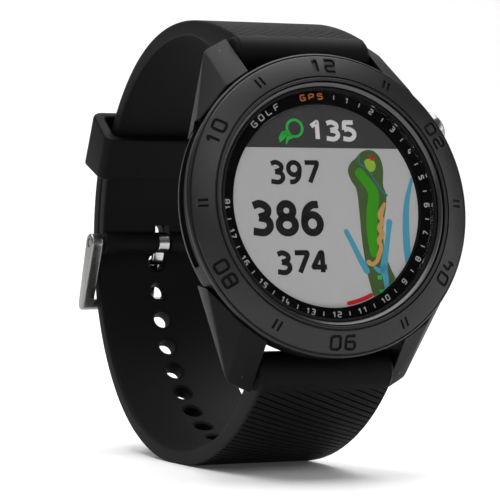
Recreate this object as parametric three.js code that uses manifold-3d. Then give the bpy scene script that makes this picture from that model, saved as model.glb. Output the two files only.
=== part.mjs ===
// Golf GPS watch, buckled and standing on its strap. Millimetres.
// While modelling, X points to 3 o'clock, Y from the glass towards the wrist and Z to
// 12 o'clock. Y = 0 is the height of the bezel's numerals. The finished group then leans
// back, and its origin is the middle of the surface that it stands on, with +Z up.
import * as THREE from 'three';
import { ConvexGeometry } from 'three/addons/geometries/ConvexGeometry.js';
import { mergeVertices } from 'three/addons/utils/BufferGeometryUtils.js';
import Module from 'manifold-3d';

// ---------------------------------------------------------------- driving dimensions
const leanBack = 9.76;            // degrees, as the buckled watch stands on its strap

const seatGap = 0.3;              // between pieces that rest on each other
const ringGap = 0.12;             // radial, between round pieces that fit in each other
const runGap = 0.15;              // radial, of a pin or stem in its bore

const screenRadius = 15.4;
const screenFront = 2.6;
const screenThickness = 0.7;
const backlightThickness = 0.5;
const dialRingWidth = 1.75;       // of the printed ring that shows around the screen
const dialRingThickness = 0.5;
const glassFront = 0.3;
const glassThickness = 1.5;
const gasketWall = 0.4;
const ringWall = 0.55;

const bezelWidth = 4.54;
const bezelFront = -0.8;
const bezelBack = 1.7;
const bezelSlope = 1.85;          // how far the front falls from the inner to the outer edge

const flankInset = 0.25;          // the case's flank stands inside the bezel's edge
const caseWaist = 5.0;            // depth where the flank starts to slope in
const caseBack = 10.0;
const pocketMargin = 1.5;         // from the screen's edge to the pocket's wall
const trayThickness = 0.6;
const boardThickness = 0.8;
const partHeight = 2.7;           // room that the tall parts on the board take

const coverThickness = 1.0;
const sealSection = 0.6;
const sealLand = 0.8;             // from the pocket's wall to the middle of the seal
const screwLand = 1.3;            // from the middle of the seal to the screws
const screwHead = 1.05;
const screwShank = 0.5;
const screwLength = 3.2;
const screwEdge = 0.9;            // from the screws to the cover's edge
const coverInset = 0.5;           // the cover stands inside the case's back edge

const contactPitch = 2.3;
const contactPinRadius = 0.5;
const contactHeight = -10.0;      // middle of the charging contacts, towards 6 o'clock

const strapWidth = 22.0;          // between the lugs
const lugGap = 0.3;               // on each side of the strap
const lugWidth = 3.5;             // at the tip
const lugLength = 4.1;            // of the lug's tip past the bezel
const lugTip = 3.0;               // from the lug's pin to its tip
const lugPinDepth = 8.5;
const lugPinRadius = 0.9;
const lugPinGrip = 1.8;           // how far the pin goes into each lug
const strapBarrel = 3.2;          // radius of the strap's rolled end at the lugs
const strapTaper = 0.4;           // the strap narrows by this behind its rolled end

const wristRadius = 30.9;
const wristNear = 5.4;            // how far the wrist circle reaches in front of the cover
const wristRise = 0.2;            // of the wrist circle's middle above the dial's
const buckleStrapWall = 2.4;
const longStrapWall = 2.5;
const lugStrapWall = 4.4;
const overlapGap = 0.3;
const fadeStart = 3.0;            // the thick lug end fades to the plain strap between
const fadeEnd = 20.0;             // these two distances along it
const restDepth = 0.25;           // how much is flat where the strap stands

const buckleAngle = 9.2;          // degrees around the wrist, from straight behind the watch
const bucklePinRadius = 0.7;
const buckleBarrel = 1.9;
const buckleReach = 11.45;         // from the buckle's pin to its far bar
const buckleBarRadius = 1.05;
const buckleArmRadius = 1.6;
const buckleArmWidth = 2.1;
const buckleArmGap = 0.4;         // between the strap's edge and each arm
const tongueWidth = 2.0;
const tongueWall = 0.9;

const tipAngle = 41.0;
const tipCornerRadius = 8.0;
const holeRadius = 1.65;
const holePitch = 5.5;
const holesPastTongue = 2;        // towards the strap's tip
const holesBeforeTongue = 8;      // towards the lugs
const tongueHoleAngle = 3.5;

const keeperAngle = 38.0;
const keeperLength = 8.6;
const keeperWall = 1.5;
const keeperSide = 1.9;

const buttonAngle = 58.0;         // degrees clockwise from 12 o'clock
const buttonDepth = 5.9;
const buttonRadius = 2.8;
const buttonHeight = 3.3;
const buttonWell = 1.35;          // depth of the well in the case's flank
const buttonTravel = 0.5;
const stemRadius = 0.8;
const sleeveRadius = 2.0;

const roundSteps = 48;
const smallSteps = 16;

// ---------------------------------------------------------------- places worked out from them
const glassRadius = screenRadius + dialRingWidth;
const glassBack = glassFront + glassThickness;
const gasketInner = glassRadius + ringGap;
const gasketOuter = gasketInner + gasketWall;
const ringInner = gasketOuter + ringGap;
const ringOuter = ringInner + ringWall;
const bezelInner = ringOuter + ringGap;
const bezelRadius = bezelInner + bezelWidth;
const dialRingFront = glassBack + 2 * seatGap;
const caseRadius = bezelRadius - flankInset;
const caseFront = bezelBack + seatGap;
const seatDepth = dialRingFront + dialRingThickness + seatGap;
const seatRadius = ringOuter + ringGap;
const pocketRadius = screenRadius + pocketMargin;
const backlightFront = screenFront + screenThickness + seatGap;
const trayFront = backlightFront + backlightThickness + seatGap;
const traySize = pocketRadius - 3 * ringGap;
const boardFront = trayFront + trayThickness + seatGap;
const boardBack = boardFront + boardThickness;
const partFront = boardBack + seatGap;
const coverFront = caseBack + seatGap;
const coverBack = coverFront + coverThickness;
const sealRadius = pocketRadius + sealLand;
const screwCircle = sealRadius + screwLand;
const coverRadius = screwCircle + screwEdge;
const caseBackRadius = coverRadius + coverInset;
const bezelSealRadius = (seatRadius + caseRadius) / 2;
const lugInner = strapWidth / 2 + lugGap;
const lugReach = bezelRadius + lugLength;
const lugPinHeight = lugReach - lugTip;
const lugPinLength = 2 * (lugInner + lugPinGrip);
const strapHalf = (strapWidth - strapTaper) / 2;
const wristCentre = new THREE.Vector2(coverBack + wristRadius - wristNear, wristRise);
const buckleStrapOuter = wristRadius + buckleStrapWall;
const longStrapInner = buckleStrapOuter + overlapGap;
const longStrapOuter = longStrapInner + longStrapWall;
const bucklePinAt = aroundWrist(buckleStrapOuter - buckleBarrel, buckleAngle);
const buckleArmInner = strapHalf + buckleArmGap;
const buckleArmOuter = buckleArmInner + buckleArmWidth;

const wasm = await Module();
wasm.setup();

// ---------------------------------------------------------------- materials
const surface = (color, roughness, metalness = 0) =>
  new THREE.MeshStandardMaterial({ color, roughness, metalness });
const coatedSteel = surface(0x2b2b2c, 0.34, 0.8);
const blackPolymer = surface(0x232324, 0.5);
const silicone = surface(0x1d1d1e, 0.72);
const brushedSteel = surface(0xa9a6a0, 0.32, 1);
const polishedSteel = surface(0xc9c7c2, 0.18, 1);
const glass = new THREE.MeshStandardMaterial(
  { color: 0x9aa0a2, roughness: 0.05, transparent: true, opacity: 0.35 });
const printedBlack = surface(0x121212, 0.45);
const liquidCrystal = surface(0xaeb1ae, 0.4);
const diffuser = surface(0xe6e6e0, 0.6);
const sealRubber = surface(0x141414, 0.85);
const boardGreen = surface(0x1f5a35, 0.55);
const tinPlate = surface(0xb4b4b2, 0.4, 1);
const foilSilver = surface(0x9fa3a8, 0.45, 0.6);
const gold = surface(0xc9a24a, 0.3, 1);
const amberFilm = surface(0xb5732a, 0.5);

// ---------------------------------------------------------------- solids, joins and cuts
/** Point (depth, height) at a radius and an angle around the wrist. */
function aroundWrist(radius, degrees) {
  const turn = THREE.MathUtils.degToRad(degrees);
  return new THREE.Vector2(Math.cos(turn), Math.sin(turn)).multiplyScalar(radius).add(wristCentre);
}

/** A closed geometry as a solid: shared corners merged, empty triangles left out. */
function solidOf(geometry) {
  const bare = new THREE.BufferGeometry();
  bare.setAttribute('position', geometry.getAttribute('position'));
  bare.setIndex(geometry.getIndex());
  const merged = mergeVertices(bare, 1e-4);
  const corners = [];
  const index = merged.getIndex().array;
  for (let i = 0; i < index.length; i += 3) {
    const [a, b, c] = index.slice(i, i + 3);
    if (a !== b && b !== c && c !== a) corners.push(a, b, c);
  }
  const mesh = (triangles) => new wasm.Mesh({
    numProp: 3,
    vertProperties: merged.getAttribute('position').array,
    triVerts: new Uint32Array(triangles),
  });
  const solid = new wasm.Manifold(mesh(corners));
  return solid.volume() > 0 ? solid : new wasm.Manifold(mesh(corners.reverse()));
}

/** A solid as a geometry. */
function geometryOf(solid) {
  const mesh = solid.getMesh();
  const geometry = new THREE.BufferGeometry();
  geometry.setAttribute('position', new THREE.BufferAttribute(mesh.vertProperties, 3));
  geometry.setIndex(new THREE.BufferAttribute(mesh.triVerts, 1));
  geometry.computeVertexNormals();
  return geometry;
}

const join = (first, ...rest) => rest.reduce((whole, piece) => whole.add(piece), first);
const cut = (first, ...tools) => tools.reduce((whole, tool) => whole.subtract(tool), first);

/** A ring or other turned piece around the watch's axis, from a profile of (radius, depth). */
function turned(profile, steps = roundSteps) {
  const points = [...profile, profile[0]].map(([radius, depth]) => new THREE.Vector2(radius, depth));
  return solidOf(new THREE.LatheGeometry(points, steps));
}

const ring = (inner, outer, front, back, steps = roundSteps) =>
  turned([[inner, front], [outer, front], [outer, back], [inner, back]], steps);

/** A round disc or pin along the watch's axis. */
function disc(radius, front, back, x = 0, z = 0, steps = roundSteps) {
  const geometry = new THREE.CylinderGeometry(radius, radius, back - front, steps);
  return solidOf(geometry.translate(x, (front + back) / 2, z));
}

/** A block between two corners. */
function block([x0, y0, z0], [x1, y1, z1]) {
  const geometry = new THREE.BoxGeometry(x1 - x0, y1 - y0, z1 - z0);
  return solidOf(geometry.translate((x0 + x1) / 2, (y0 + y1) / 2, (z0 + z1) / 2));
}

const fromSide = new THREE.Matrix4().makeBasis(
  new THREE.Vector3(0, 1, 0), new THREE.Vector3(0, 0, 1), new THREE.Vector3(1, 0, 0));
const fromFront = new THREE.Matrix4().makeBasis(
  new THREE.Vector3(1, 0, 0), new THREE.Vector3(0, 0, 1), new THREE.Vector3(0, -1, 0));

/** An outline of (depth, height) points carried across the watch from one X to another. */
function acrossWatch(points, from, to) {
  const shape = points instanceof THREE.Shape ? points : new THREE.Shape(points);
  const options = { depth: to - from, bevelEnabled: false, curveSegments: 6 };
  const geometry = new THREE.ExtrudeGeometry(shape, options).applyMatrix4(fromSide);
  return solidOf(geometry.translate(from, 0, 0));
}

/** An outline of (x, z) points with the given front and back. */
function facing(shape, front, back, curveSegments = 6) {
  const options = { depth: back - front, bevelEnabled: false, curveSegments };
  const geometry = new THREE.ExtrudeGeometry(shape, options).applyMatrix4(fromFront);
  return solidOf(geometry.translate(0, back, 0));
}

/** A round pin across the watch at a (depth, height) point. */
function crossPin(radius, at, from, to, steps = smallSteps) {
  const geometry = new THREE.CylinderGeometry(radius, radius, to - from, steps);
  geometry.rotateZ(-Math.PI / 2).translate((from + to) / 2, at.x, at.y);
  return solidOf(geometry);
}

const watch = new THREE.Group();

/** Adds one named piece to the watch. */
function piece(name, solid, material, parent = watch) {
  const mesh = new THREE.Mesh(geometryOf(solid), material);
  mesh.name = name;
  parent.add(mesh);
  return mesh;
}

// ---------------------------------------------------------------- button, on its own axis
// In the button's own frame Y is the distance from the watch's axis, X is along the flank
// and Z is towards the glass.
const buttonFrame = new THREE.Group();
const buttonTurn = THREE.MathUtils.degToRad(buttonAngle);
buttonFrame.setRotationFromMatrix(new THREE.Matrix4().makeBasis(
  new THREE.Vector3(Math.cos(buttonTurn), 0, -Math.sin(buttonTurn)),
  new THREE.Vector3(Math.sin(buttonTurn), 0, Math.cos(buttonTurn)),
  new THREE.Vector3(0, -1, 0)));
buttonFrame.position.set(0, buttonDepth, 0);
buttonFrame.updateMatrix();
watch.add(buttonFrame);

const buttonSeat = caseRadius - buttonWell;
const capBase = buttonSeat + buttonTravel + seatGap;
const capTop = capBase + buttonHeight;
const sleeveEnd = buttonSeat - ringGap;
const bayOuter = pocketRadius + 1.7;
const bayInner = pocketRadius - 2.3;
const bayHalf = 3.3;
const sleeveStart = bayOuter + seatGap;
const switchFace = pocketRadius + 0.3;
const switchHeight = 1.3;
const stemEnd = switchFace + buttonTravel + ringGap;
const stemTop = capBase + 2.2;
const springTop = capBase + 1.3;
const sealGrooveStart = sleeveStart + 0.7;
const sealGrooveEnd = sleeveStart + 1.6;

piece('button_cap', cut(
  turned([[0.01, capTop - 0.01], [buttonRadius - 0.5, capTop], [buttonRadius, capTop - 0.5],
    [buttonRadius, capBase], [0.01, capBase]], 32),
  disc(1.75, capBase - 1, springTop + ringGap, 0, 0, smallSteps),
  disc(stemRadius + runGap, capBase, stemTop + seatGap, 0, 0, smallSteps),
), polishedSteel, buttonFrame);
piece('button_stem', disc(stemRadius, stemEnd, stemTop, 0, 0, smallSteps), brushedSteel, buttonFrame);
piece('button_clip', ring(stemRadius + runGap, 1.6, stemEnd + 0.3, stemEnd + 0.6, smallSteps),
  brushedSteel, buttonFrame);
piece('button_seal', ring(stemRadius + runGap, sleeveRadius - 0.55, sealGrooveStart + 0.2,
  sealGrooveEnd - 0.2, smallSteps), sealRubber, buttonFrame);
piece('button_sleeve', turned([
  [stemRadius + runGap, sleeveStart], [sleeveRadius, sleeveStart], [sleeveRadius, sleeveEnd],
  [stemRadius + runGap, sleeveEnd], [stemRadius + runGap, sealGrooveEnd],
  [sleeveRadius - 0.4, sealGrooveEnd], [sleeveRadius - 0.4, sealGrooveStart],
  [stemRadius + runGap, sealGrooveStart],
], smallSteps), brushedSteel, buttonFrame);

/** A coil spring along Y between two distances, as one round wire. */
function coil(radius, wire, from, to, turns) {
  const rise = to - from - 2 * wire;
  const points = [];
  for (let i = 0; i <= turns * 12; i += 1) {
    const turn = (i / 12) * 2 * Math.PI;
    const up = from + wire + (rise * i) / (turns * 12);
    points.push(new THREE.Vector3(radius * Math.cos(turn), up, radius * Math.sin(turn)));
  }
  const section = new THREE.Shape();
  section.absarc(0, 0, wire, 0, 2 * Math.PI);
  return solidOf(new THREE.ExtrudeGeometry(section, {
    steps: turns * 12, curveSegments: 3, extrudePath: new THREE.CatmullRomCurve3(points),
  }));
}
piece('button_spring', coil(1.25, 0.16, buttonSeat + 0.05, springTop, 3), brushedSteel, buttonFrame);

piece('side_switch', block([-2.4, switchFace - switchHeight, -1.2], [2.4, switchFace, 1.2]),
  blackPolymer, buttonFrame);
piece('switch_bracket', block([-2.8, bayInner + 0.4, -1.7], [2.8, switchFace - switchHeight - seatGap, 1.7]),
  tinPlate, buttonFrame);

const alongButton = (solid) => {
  const e = buttonFrame.matrix.elements;
  return solid.transform([...e]);
};
const buttonBore = alongButton(disc(sleeveRadius + runGap, bayInner, buttonSeat + 1, 0, 0, smallSteps));
const buttonRoom = alongButton(disc(buttonRadius + seatGap, buttonSeat, caseRadius + 4, 0, 0, 32));
// The switch's bay in the case opens towards the back cover.
const bay = alongButton(block([-bayHalf, bayInner, buttonDepth - caseBack - 1],
  [bayHalf, bayOuter, buttonDepth - trayFront + seatGap]));

// ---------------------------------------------------------------- case, lugs and bezel
/** Point (x, z) at a distance from the watch's axis and a clock angle in degrees. */
function onClock(radius, degrees) {
  const turn = THREE.MathUtils.degToRad(degrees);
  return [radius * Math.sin(turn), radius * Math.cos(turn)];
}

/** One lug: flat facets that meet in a ridge running from the tip up to the bezel. */
function lug(right, up) {
  const lugOuter = lugInner + lugWidth;
  const [ridgeX, ridgeZ] = onClock(caseRadius + 0.75, 40.3);
  const [flankX, flankZ] = onClock(caseRadius + 0.7, 58.6);
  const [waistX, waistZ] = onClock(caseRadius - 0.5, 60.7);
  const [backX, backZ] = onClock(caseBackRadius + 0.3, 53.2);
  const inside = (radius) => Math.sqrt(radius ** 2 - lugInner ** 2);
  const corners = [
    [lugInner, lugPinDepth + 0.8, lugReach], [lugOuter, lugPinDepth + 1.4, lugReach - 1.8],
    [lugInner, caseBack + 0.3, lugReach - 0.6], [lugOuter - 0.5, caseBack + 0.3, lugReach - 2.3],
    [lugInner, caseFront - 0.5, inside(caseRadius + 0.2)], [ridgeX, caseFront - 0.5, ridgeZ],
    [flankX, caseFront + 0.7, flankZ], [waistX, caseWaist + 2.8, waistZ],
    [backX, caseBack, backZ], [lugInner, caseBack, inside(caseBackRadius + 0.5)],
  ];
  return solidOf(new ConvexGeometry(
    corners.map(([x, y, z]) => new THREE.Vector3(right * x, y, up * z))));
}
const lugs = [[1, 1], [1, -1], [-1, 1], [-1, -1]].map(([right, up]) => lug(right, up));

const screwPlaces = [45, 135, 225, 315].map((degrees) => onClock(screwCircle, degrees));
const sealGroove = (radius, front, back) =>
  ring(radius - sealSection / 2 - ringGap, radius + sealSection / 2 + ringGap, front, back);
const lugPins = [-1, 1].map((up) => new THREE.Vector2(lugPinDepth, up * lugPinHeight));
const barrelRoom = strapBarrel + seatGap;

piece('mid_case', cut(
  join(turned([
    [pocketRadius, caseBack], [pocketRadius, seatDepth], [seatRadius, seatDepth],
    [seatRadius, caseFront], [caseRadius, caseFront], [caseRadius, caseWaist],
    [caseBackRadius, caseBack],
  ]), ...lugs),
  disc(pocketRadius, seatDepth - 1, caseBack + 1),
  ring(0.5, bezelRadius + seatGap, bezelFront, caseFront),
  sealGroove(bezelSealRadius, caseFront - 1, caseFront + 0.9),
  sealGroove(sealRadius, caseBack - 0.85, caseBack + 1),
  bay, buttonBore, buttonRoom,
  ...screwPlaces.map(([x, z]) => disc(screwShank + runGap, coverFront - screwLength - seatGap,
    caseBack + 1, x, z, smallSteps)),
  ...lugPins.map((at) => crossPin(lugPinRadius + runGap, at,
    -lugPinLength / 2 - seatGap, lugPinLength / 2 + seatGap)),
  ...lugPins.map((at) => crossPin(barrelRoom, at, -lugInner, lugInner, 32)),
), blackPolymer);

piece('bezel', turned([
  [bezelInner, bezelFront + 0.15], [bezelInner + 0.35, bezelFront],
  [bezelRadius - 0.6, bezelFront + bezelSlope - 0.5], [bezelRadius, bezelFront + bezelSlope],
  [bezelRadius, bezelBack], [bezelInner, bezelBack],
]), coatedSteel);
piece('bezel_seal', ring(bezelSealRadius - sealSection / 2, bezelSealRadius + sealSection / 2,
  bezelBack + 0.2, caseFront + 0.6), sealRubber);

// ---------------------------------------------------------------- glass, dial ring and display
piece('inner_ring', turned([
  [ringOuter - 0.15, bezelFront + 0.45], [ringOuter, bezelFront + 0.45], [ringOuter, glassBack],
  [ringInner, glassBack], [ringInner, glassFront - 0.05],
]), printedBlack);
piece('lens_gasket', ring(gasketInner, gasketOuter, glassFront + 0.15, glassBack), sealRubber);
piece('lens', disc(glassRadius, glassFront, glassBack), glass);
piece('chapter_ring', ring(screenRadius + 2 * ringGap, ringOuter, dialRingFront,
  dialRingFront + dialRingThickness), printedBlack);
const screenBack = screenFront + screenThickness;
piece('display_panel', disc(screenRadius, screenFront, screenBack), liquidCrystal);
piece('backlight', disc(screenRadius - 0.2, backlightFront, backlightFront + backlightThickness),
  diffuser);

// The display's flexible tail runs behind the tray and folds under the circuit board.
const tailHalf = 4.0;
const tailFilm = 0.2;
const tailOut = screenRadius + seatGap;
const tailNotch = block([-tailHalf - 0.4, seatDepth, -pocketRadius],
  [tailHalf + 0.4, partFront + 1, -tailOut + 0.35]);
piece('display_flex', acrossWatch([
  [screenBack, -tailOut], [screenBack, -tailOut - tailFilm],
  [partFront + tailFilm, -tailOut - tailFilm], [partFront + tailFilm, -tailOut + 2.8],
  [partFront, -tailOut + 2.8], [partFront, -tailOut],
].map(([depth, height]) => new THREE.Vector2(depth, height)), -tailHalf, tailHalf), amberFilm);
piece('display_holder', cut(
  turned([[0.01, trayFront], [screenRadius, trayFront], [screenRadius, backlightFront],
    [traySize, backlightFront], [traySize, trayFront + trayThickness],
    [0.01, trayFront + trayThickness]]),
  tailNotch, bay), blackPolymer);

// ---------------------------------------------------------------- board and what stands on it
piece('circuit_board', cut(disc(traySize, boardFront, boardBack), tailNotch, bay), boardGreen);
const onBoard = ([x0, z0], [x1, z1], height) =>
  block([x0, partFront, z0], [x1, partFront + height, z1]);
piece('board_shield', onBoard([-10.4, 2.8], [-1.6, 10.2], 1.8), tinPlate);
piece('battery', onBoard([-11.4, -9.4], [8.6, 1.6], partHeight), foilSilver);
piece('vibration_motor', disc(4.0, partFront, partFront + 2.5, 5.2, 6.9, 32), tinPlate);

/** A strip that follows the pocket's wall between two clock angles. */
function arcStrip(inner, outer, fromAngle, toAngle) {
  const start = Math.PI / 2 - THREE.MathUtils.degToRad(fromAngle);
  const end = Math.PI / 2 - THREE.MathUtils.degToRad(toAngle);
  const shape = new THREE.Shape();
  shape.absarc(0, 0, outer, start, end, true);
  shape.absarc(0, 0, inner, end, start, false);
  return shape;
}
piece('gps_antenna', facing(arcStrip(traySize - 1.2, traySize - 0.4, -52, 36),
  partFront, partFront + 2.6, 16), gold);

// ---------------------------------------------------------------- back cover
const contactCount = 4;
const contactSpan = contactPitch * (contactCount - 1);
const contactHalfX = contactSpan / 2 + 1.6;
const contactHalfZ = 1.5;
const contactBox = (grow, front, back) => block(
  [-contactHalfX - grow, front, contactHeight - contactHalfZ - grow],
  [contactHalfX + grow, back, contactHeight + contactHalfZ + grow]);
const contactPlaces = Array.from({ length: contactCount },
  (_, i) => [i * contactPitch - contactSpan / 2, contactHeight]);
const pinBore = contactPinRadius + ringGap;

piece('back_cover', cut(
  turned([[0.01, coverFront], [coverRadius, coverFront], [coverRadius, coverBack - 0.4],
    [coverRadius - 0.6, coverBack], [0.01, coverBack]]),
  contactBox(runGap, coverFront - 1, coverBack + 1),
  ...screwPlaces.flatMap(([x, z]) => [
    disc(screwShank + runGap, coverFront - 1, coverBack + 1, x, z, smallSteps),
    disc(screwHead + runGap, coverFront + 0.4, coverBack + 1, x, z, smallSteps)]),
), brushedSteel);
piece('back_seal', ring(sealRadius - sealSection / 2, sealRadius + sealSection / 2,
  caseBack - 0.55, caseBack + 0.1), sealRubber);
screwPlaces.forEach(([x, z], i) => {
  const headFront = coverFront + 0.5;
  const hexagon = disc(0.5, coverBack - 0.45, coverBack + 1, x, z, 6);
  piece(`back_screw_${i + 1}`, cut(join(
    disc(screwHead, headFront, coverBack - 0.05, x, z, smallSteps),
    disc(screwShank, coverFront - screwLength, headFront + 0.1, x, z, smallSteps),
  ), hexagon), brushedSteel);
});
piece('contact_block', cut(contactBox(0, coverFront - 0.6, coverBack - 0.35),
  ...contactPlaces.map(([x, z]) => disc(pinBore, coverFront - 2, coverBack, x, z, smallSteps)),
), blackPolymer);
contactPlaces.forEach(([x, z], i) => {
  piece(`contact_pin_${i + 1}`,
    disc(contactPinRadius, coverFront - 0.9, coverBack - 0.2, x, z, smallSteps), gold);
});

// ---------------------------------------------------------------- strap lines
/** The outer line of one strap half: a cubic off its rolled end, then an arc on the wrist. */
function strapLine({ up, heading, outLug, outWrist, joinAngle, endAngle, radius }) {
  const turn = THREE.MathUtils.degToRad(heading);
  const ahead = new THREE.Vector2(Math.cos(turn), up * Math.sin(turn));
  const outward = new THREE.Vector2(-ahead.y, ahead.x).multiplyScalar(up);
  const pin = new THREE.Vector2(lugPinDepth, up * lugPinHeight);
  const start = pin.clone().addScaledVector(outward, strapBarrel);
  const meet = aroundWrist(radius, up * joinAngle);
  const joinTurn = THREE.MathUtils.degToRad(up * joinAngle);
  const along = new THREE.Vector2(Math.sin(joinTurn), -Math.cos(joinTurn)).multiplyScalar(up);
  const line = new THREE.CurvePath();
  line.add(new THREE.CubicBezierCurve(start, start.clone().addScaledVector(ahead, outLug),
    meet.clone().addScaledVector(along, -outWrist), meet));
  line.add(new THREE.EllipseCurve(wristCentre.x, wristCentre.y, radius, radius,
    joinTurn, THREE.MathUtils.degToRad(endAngle), up > 0));
  return { line, up, pin, ahead, outward, length: line.getLength() };
}

/** Point and outward direction on a strap's outer line at a distance along it. */
function onStrap(strap, distance) {
  const share = THREE.MathUtils.clamp(distance / strap.length, 0, 1);
  const at = strap.line.getPointAt(share);
  const along = strap.line.getTangentAt(share);
  return { at, along, outward: new THREE.Vector2(-along.y, along.x).multiplyScalar(strap.up) };
}

/** Cross-section of a strap half: its outer line, and an inner line one wall inside it. */
function strapOutline(strap, wall, steps) {
  const outer = [];
  const inner = [];
  for (let i = 0; i <= steps; i += 1) {
    const distance = (strap.length * i) / steps;
    const { at, outward } = onStrap(strap, distance);
    const thin = THREE.MathUtils.smoothstep(distance, fadeStart, fadeEnd);
    outer.push(at);
    inner.push(at.clone().addScaledVector(outward, -THREE.MathUtils.lerp(lugStrapWall, wall, thin)));
  }
  return new THREE.Shape([...outer, ...inner.reverse()]);
}

const strap12 = strapLine({ up: 1, heading: 28.6, outLug: 23.0, outWrist: 17.4, joinAngle: 50,
  endAngle: buckleAngle, radius: buckleStrapOuter });
const strap6 = strapLine({ up: -1, heading: 38.0, outLug: 24.0, outWrist: 28.5, joinAngle: 20,
  endAngle: tipAngle, radius: longStrapOuter });

// ---------------------------------------------------------------- strap ends at the lugs
// Each strap end hooks over the lug's pin from outside, and a sliding latch closes the hook
// on the wrist side. Local places are (along the strap, outward) from the pin.
const hookHalf = 8.6;
const hookInner = lugPinRadius + runGap;
const hookOuter = 2.1;
const latchHalf = 5.0;
const latchWall = 0.6;
const latchTravel = 1.5;
const latchGap = 0.3;
const latchTop = -hookInner - latchGap;                 // just inside the pin
const latchEnd = 5.6;
const endWay = (strap) => ([along, out]) =>
  strap.pin.clone().addScaledVector(strap.ahead, along).addScaledVector(strap.outward, out);
const endBlock = (strap, [a0, o0], [a1, o1], from, to) => {
  const corners = [[a0, o0], [a1, o0], [a1, o1], [a0, o1]].map(endWay(strap));
  return acrossWatch(strap.up > 0 ? corners.reverse() : corners, from, to);
};

function strapEnd(strap) {
  const wristSide = -strapBarrel - 1;
  const half = strapWidth / 2 + 1;
  const room = join(
    crossPin(lugPinRadius + runGap, strap.pin, -half, half),
    endBlock(strap, [-lugPinRadius - runGap, wristSide], [lugPinRadius + runGap, 0], -half, half),
    crossPin(hookOuter + ringGap, strap.pin, -hookHalf - runGap, hookHalf + runGap, 24),
    endBlock(strap, [-hookOuter - ringGap, wristSide], [hookOuter + ringGap, 0],
      -hookHalf - runGap, hookHalf + runGap),
    endBlock(strap, [0, wristSide], [latchEnd + latchTravel + seatGap, latchTop + ringGap + 0.9],
      -latchHalf - 1, latchHalf + 1));
  const hook = cut(
    join(crossPin(hookOuter, strap.pin, -hookHalf, hookHalf, 24),
      endBlock(strap, [0, latchTop], [latchEnd - 0.6, latchTop + 0.9], -latchHalf, latchHalf)),
    crossPin(hookInner, strap.pin, -hookHalf - 1, hookHalf + 1, 24),
    endBlock(strap, [-hookInner, -hookOuter - 1], [hookInner, 0], -hookHalf - 1, hookHalf + 1),
    endBlock(strap, [-hookOuter - 1, -hookOuter - 1], [hookOuter + 1, latchTop],
      -latchHalf - 1, latchHalf + 1));
  const bar = latchTop - seatGap;
  const latch = join(
    endBlock(strap, [-0.5, bar - latchWall], [latchEnd - 1.5, bar], -latchHalf + 0.5, latchHalf - 0.5),
    endBlock(strap, [latchEnd - 2.6, bar - latchWall - 0.7], [latchEnd - 1.5, bar - latchWall + 0.1],
      -2.2, 2.2));
  // A flat zigzag spring in the room beyond the latch pushes it back under the pin.
  const springStart = latchEnd - 1.5 + ringGap;
  const springEnd = latchEnd + latchTravel;
  const zigzag = [];
  for (let i = 0; i <= 4; i += 1) {
    zigzag.push([THREE.MathUtils.lerp(springStart, springEnd, i / 4), i % 2 ? 0.12 : -0.28]);
  }
  const fold = [...zigzag.map(([along, out]) => [along, bar + out - 0.05]),
    ...[...zigzag].reverse().map(([along, out]) => [along, bar + out - 0.25])].map(endWay(strap));
  const spring = acrossWatch(strap.up > 0 ? fold.reverse() : fold, -1.4, 1.4);
  return { room, hook, latch, spring };
}

const ends = [['12', strap12], ['6', strap6]].map(([name, strap]) => {
  const end = strapEnd(strap);
  piece(`end_hook_${name}`, end.hook, brushedSteel);
  piece(`latch_${name}`, end.latch, brushedSteel);
  piece(`latch_spring_${name}`, end.spring, brushedSteel);
  piece(`lug_bar_${name}`, crossPin(lugPinRadius, strap.pin, -lugPinLength / 2, lugPinLength / 2),
    brushedSteel);
  return end;
});

// ---------------------------------------------------------------- strap halves
const barrelOf = (strap) => crossPin(strapBarrel, strap.pin, -strapWidth / 2, strapWidth / 2, 32);
const pinBoreAt = crossPin(bucklePinRadius + runGap, bucklePinAt, -strapWidth, strapWidth);
const notchHalf = tongueWidth / 2 + seatGap;
const notch = acrossWatch([
  aroundWrist(wristRadius - 3, buckleAngle + 5.5), aroundWrist(wristRadius - 3, buckleAngle - 8),
  aroundWrist(longStrapInner + 0.2, buckleAngle - 8), aroundWrist(longStrapInner + 0.2, buckleAngle + 5.5),
], -notchHalf, notchHalf);
piece('strap_12', cut(
  join(acrossWatch(strapOutline(strap12, buckleStrapWall, 44), -strapHalf, strapHalf),
    barrelOf(strap12), crossPin(buckleBarrel, bucklePinAt, -strapHalf, strapHalf, 24)),
  ends[0].room, pinBoreAt, notch), silicone);

/** A round hole through the long strap, square to it. */
function strapHole(distance) {
  const { at, outward } = onStrap(strap6, distance);
  const geometry = new THREE.CylinderGeometry(holeRadius, holeRadius, 3 * longStrapWall, 12);
  const way = new THREE.Vector3(0, outward.x, outward.y);
  geometry.applyQuaternion(new THREE.Quaternion().setFromUnitVectors(new THREE.Vector3(0, 1, 0), way));
  const middle = at.clone().addScaledVector(outward, -longStrapWall / 2);
  return solidOf(geometry.translate(0, middle.x, middle.y));
}
const tongueHoleAt = strap6.length
  - THREE.MathUtils.degToRad(tipAngle - tongueHoleAngle) * longStrapOuter;
const holes = [];
for (let i = -holesBeforeTongue; i <= holesPastTongue; i += 1) {
  holes.push(strapHole(tongueHoleAt + i * holePitch));
}

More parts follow.
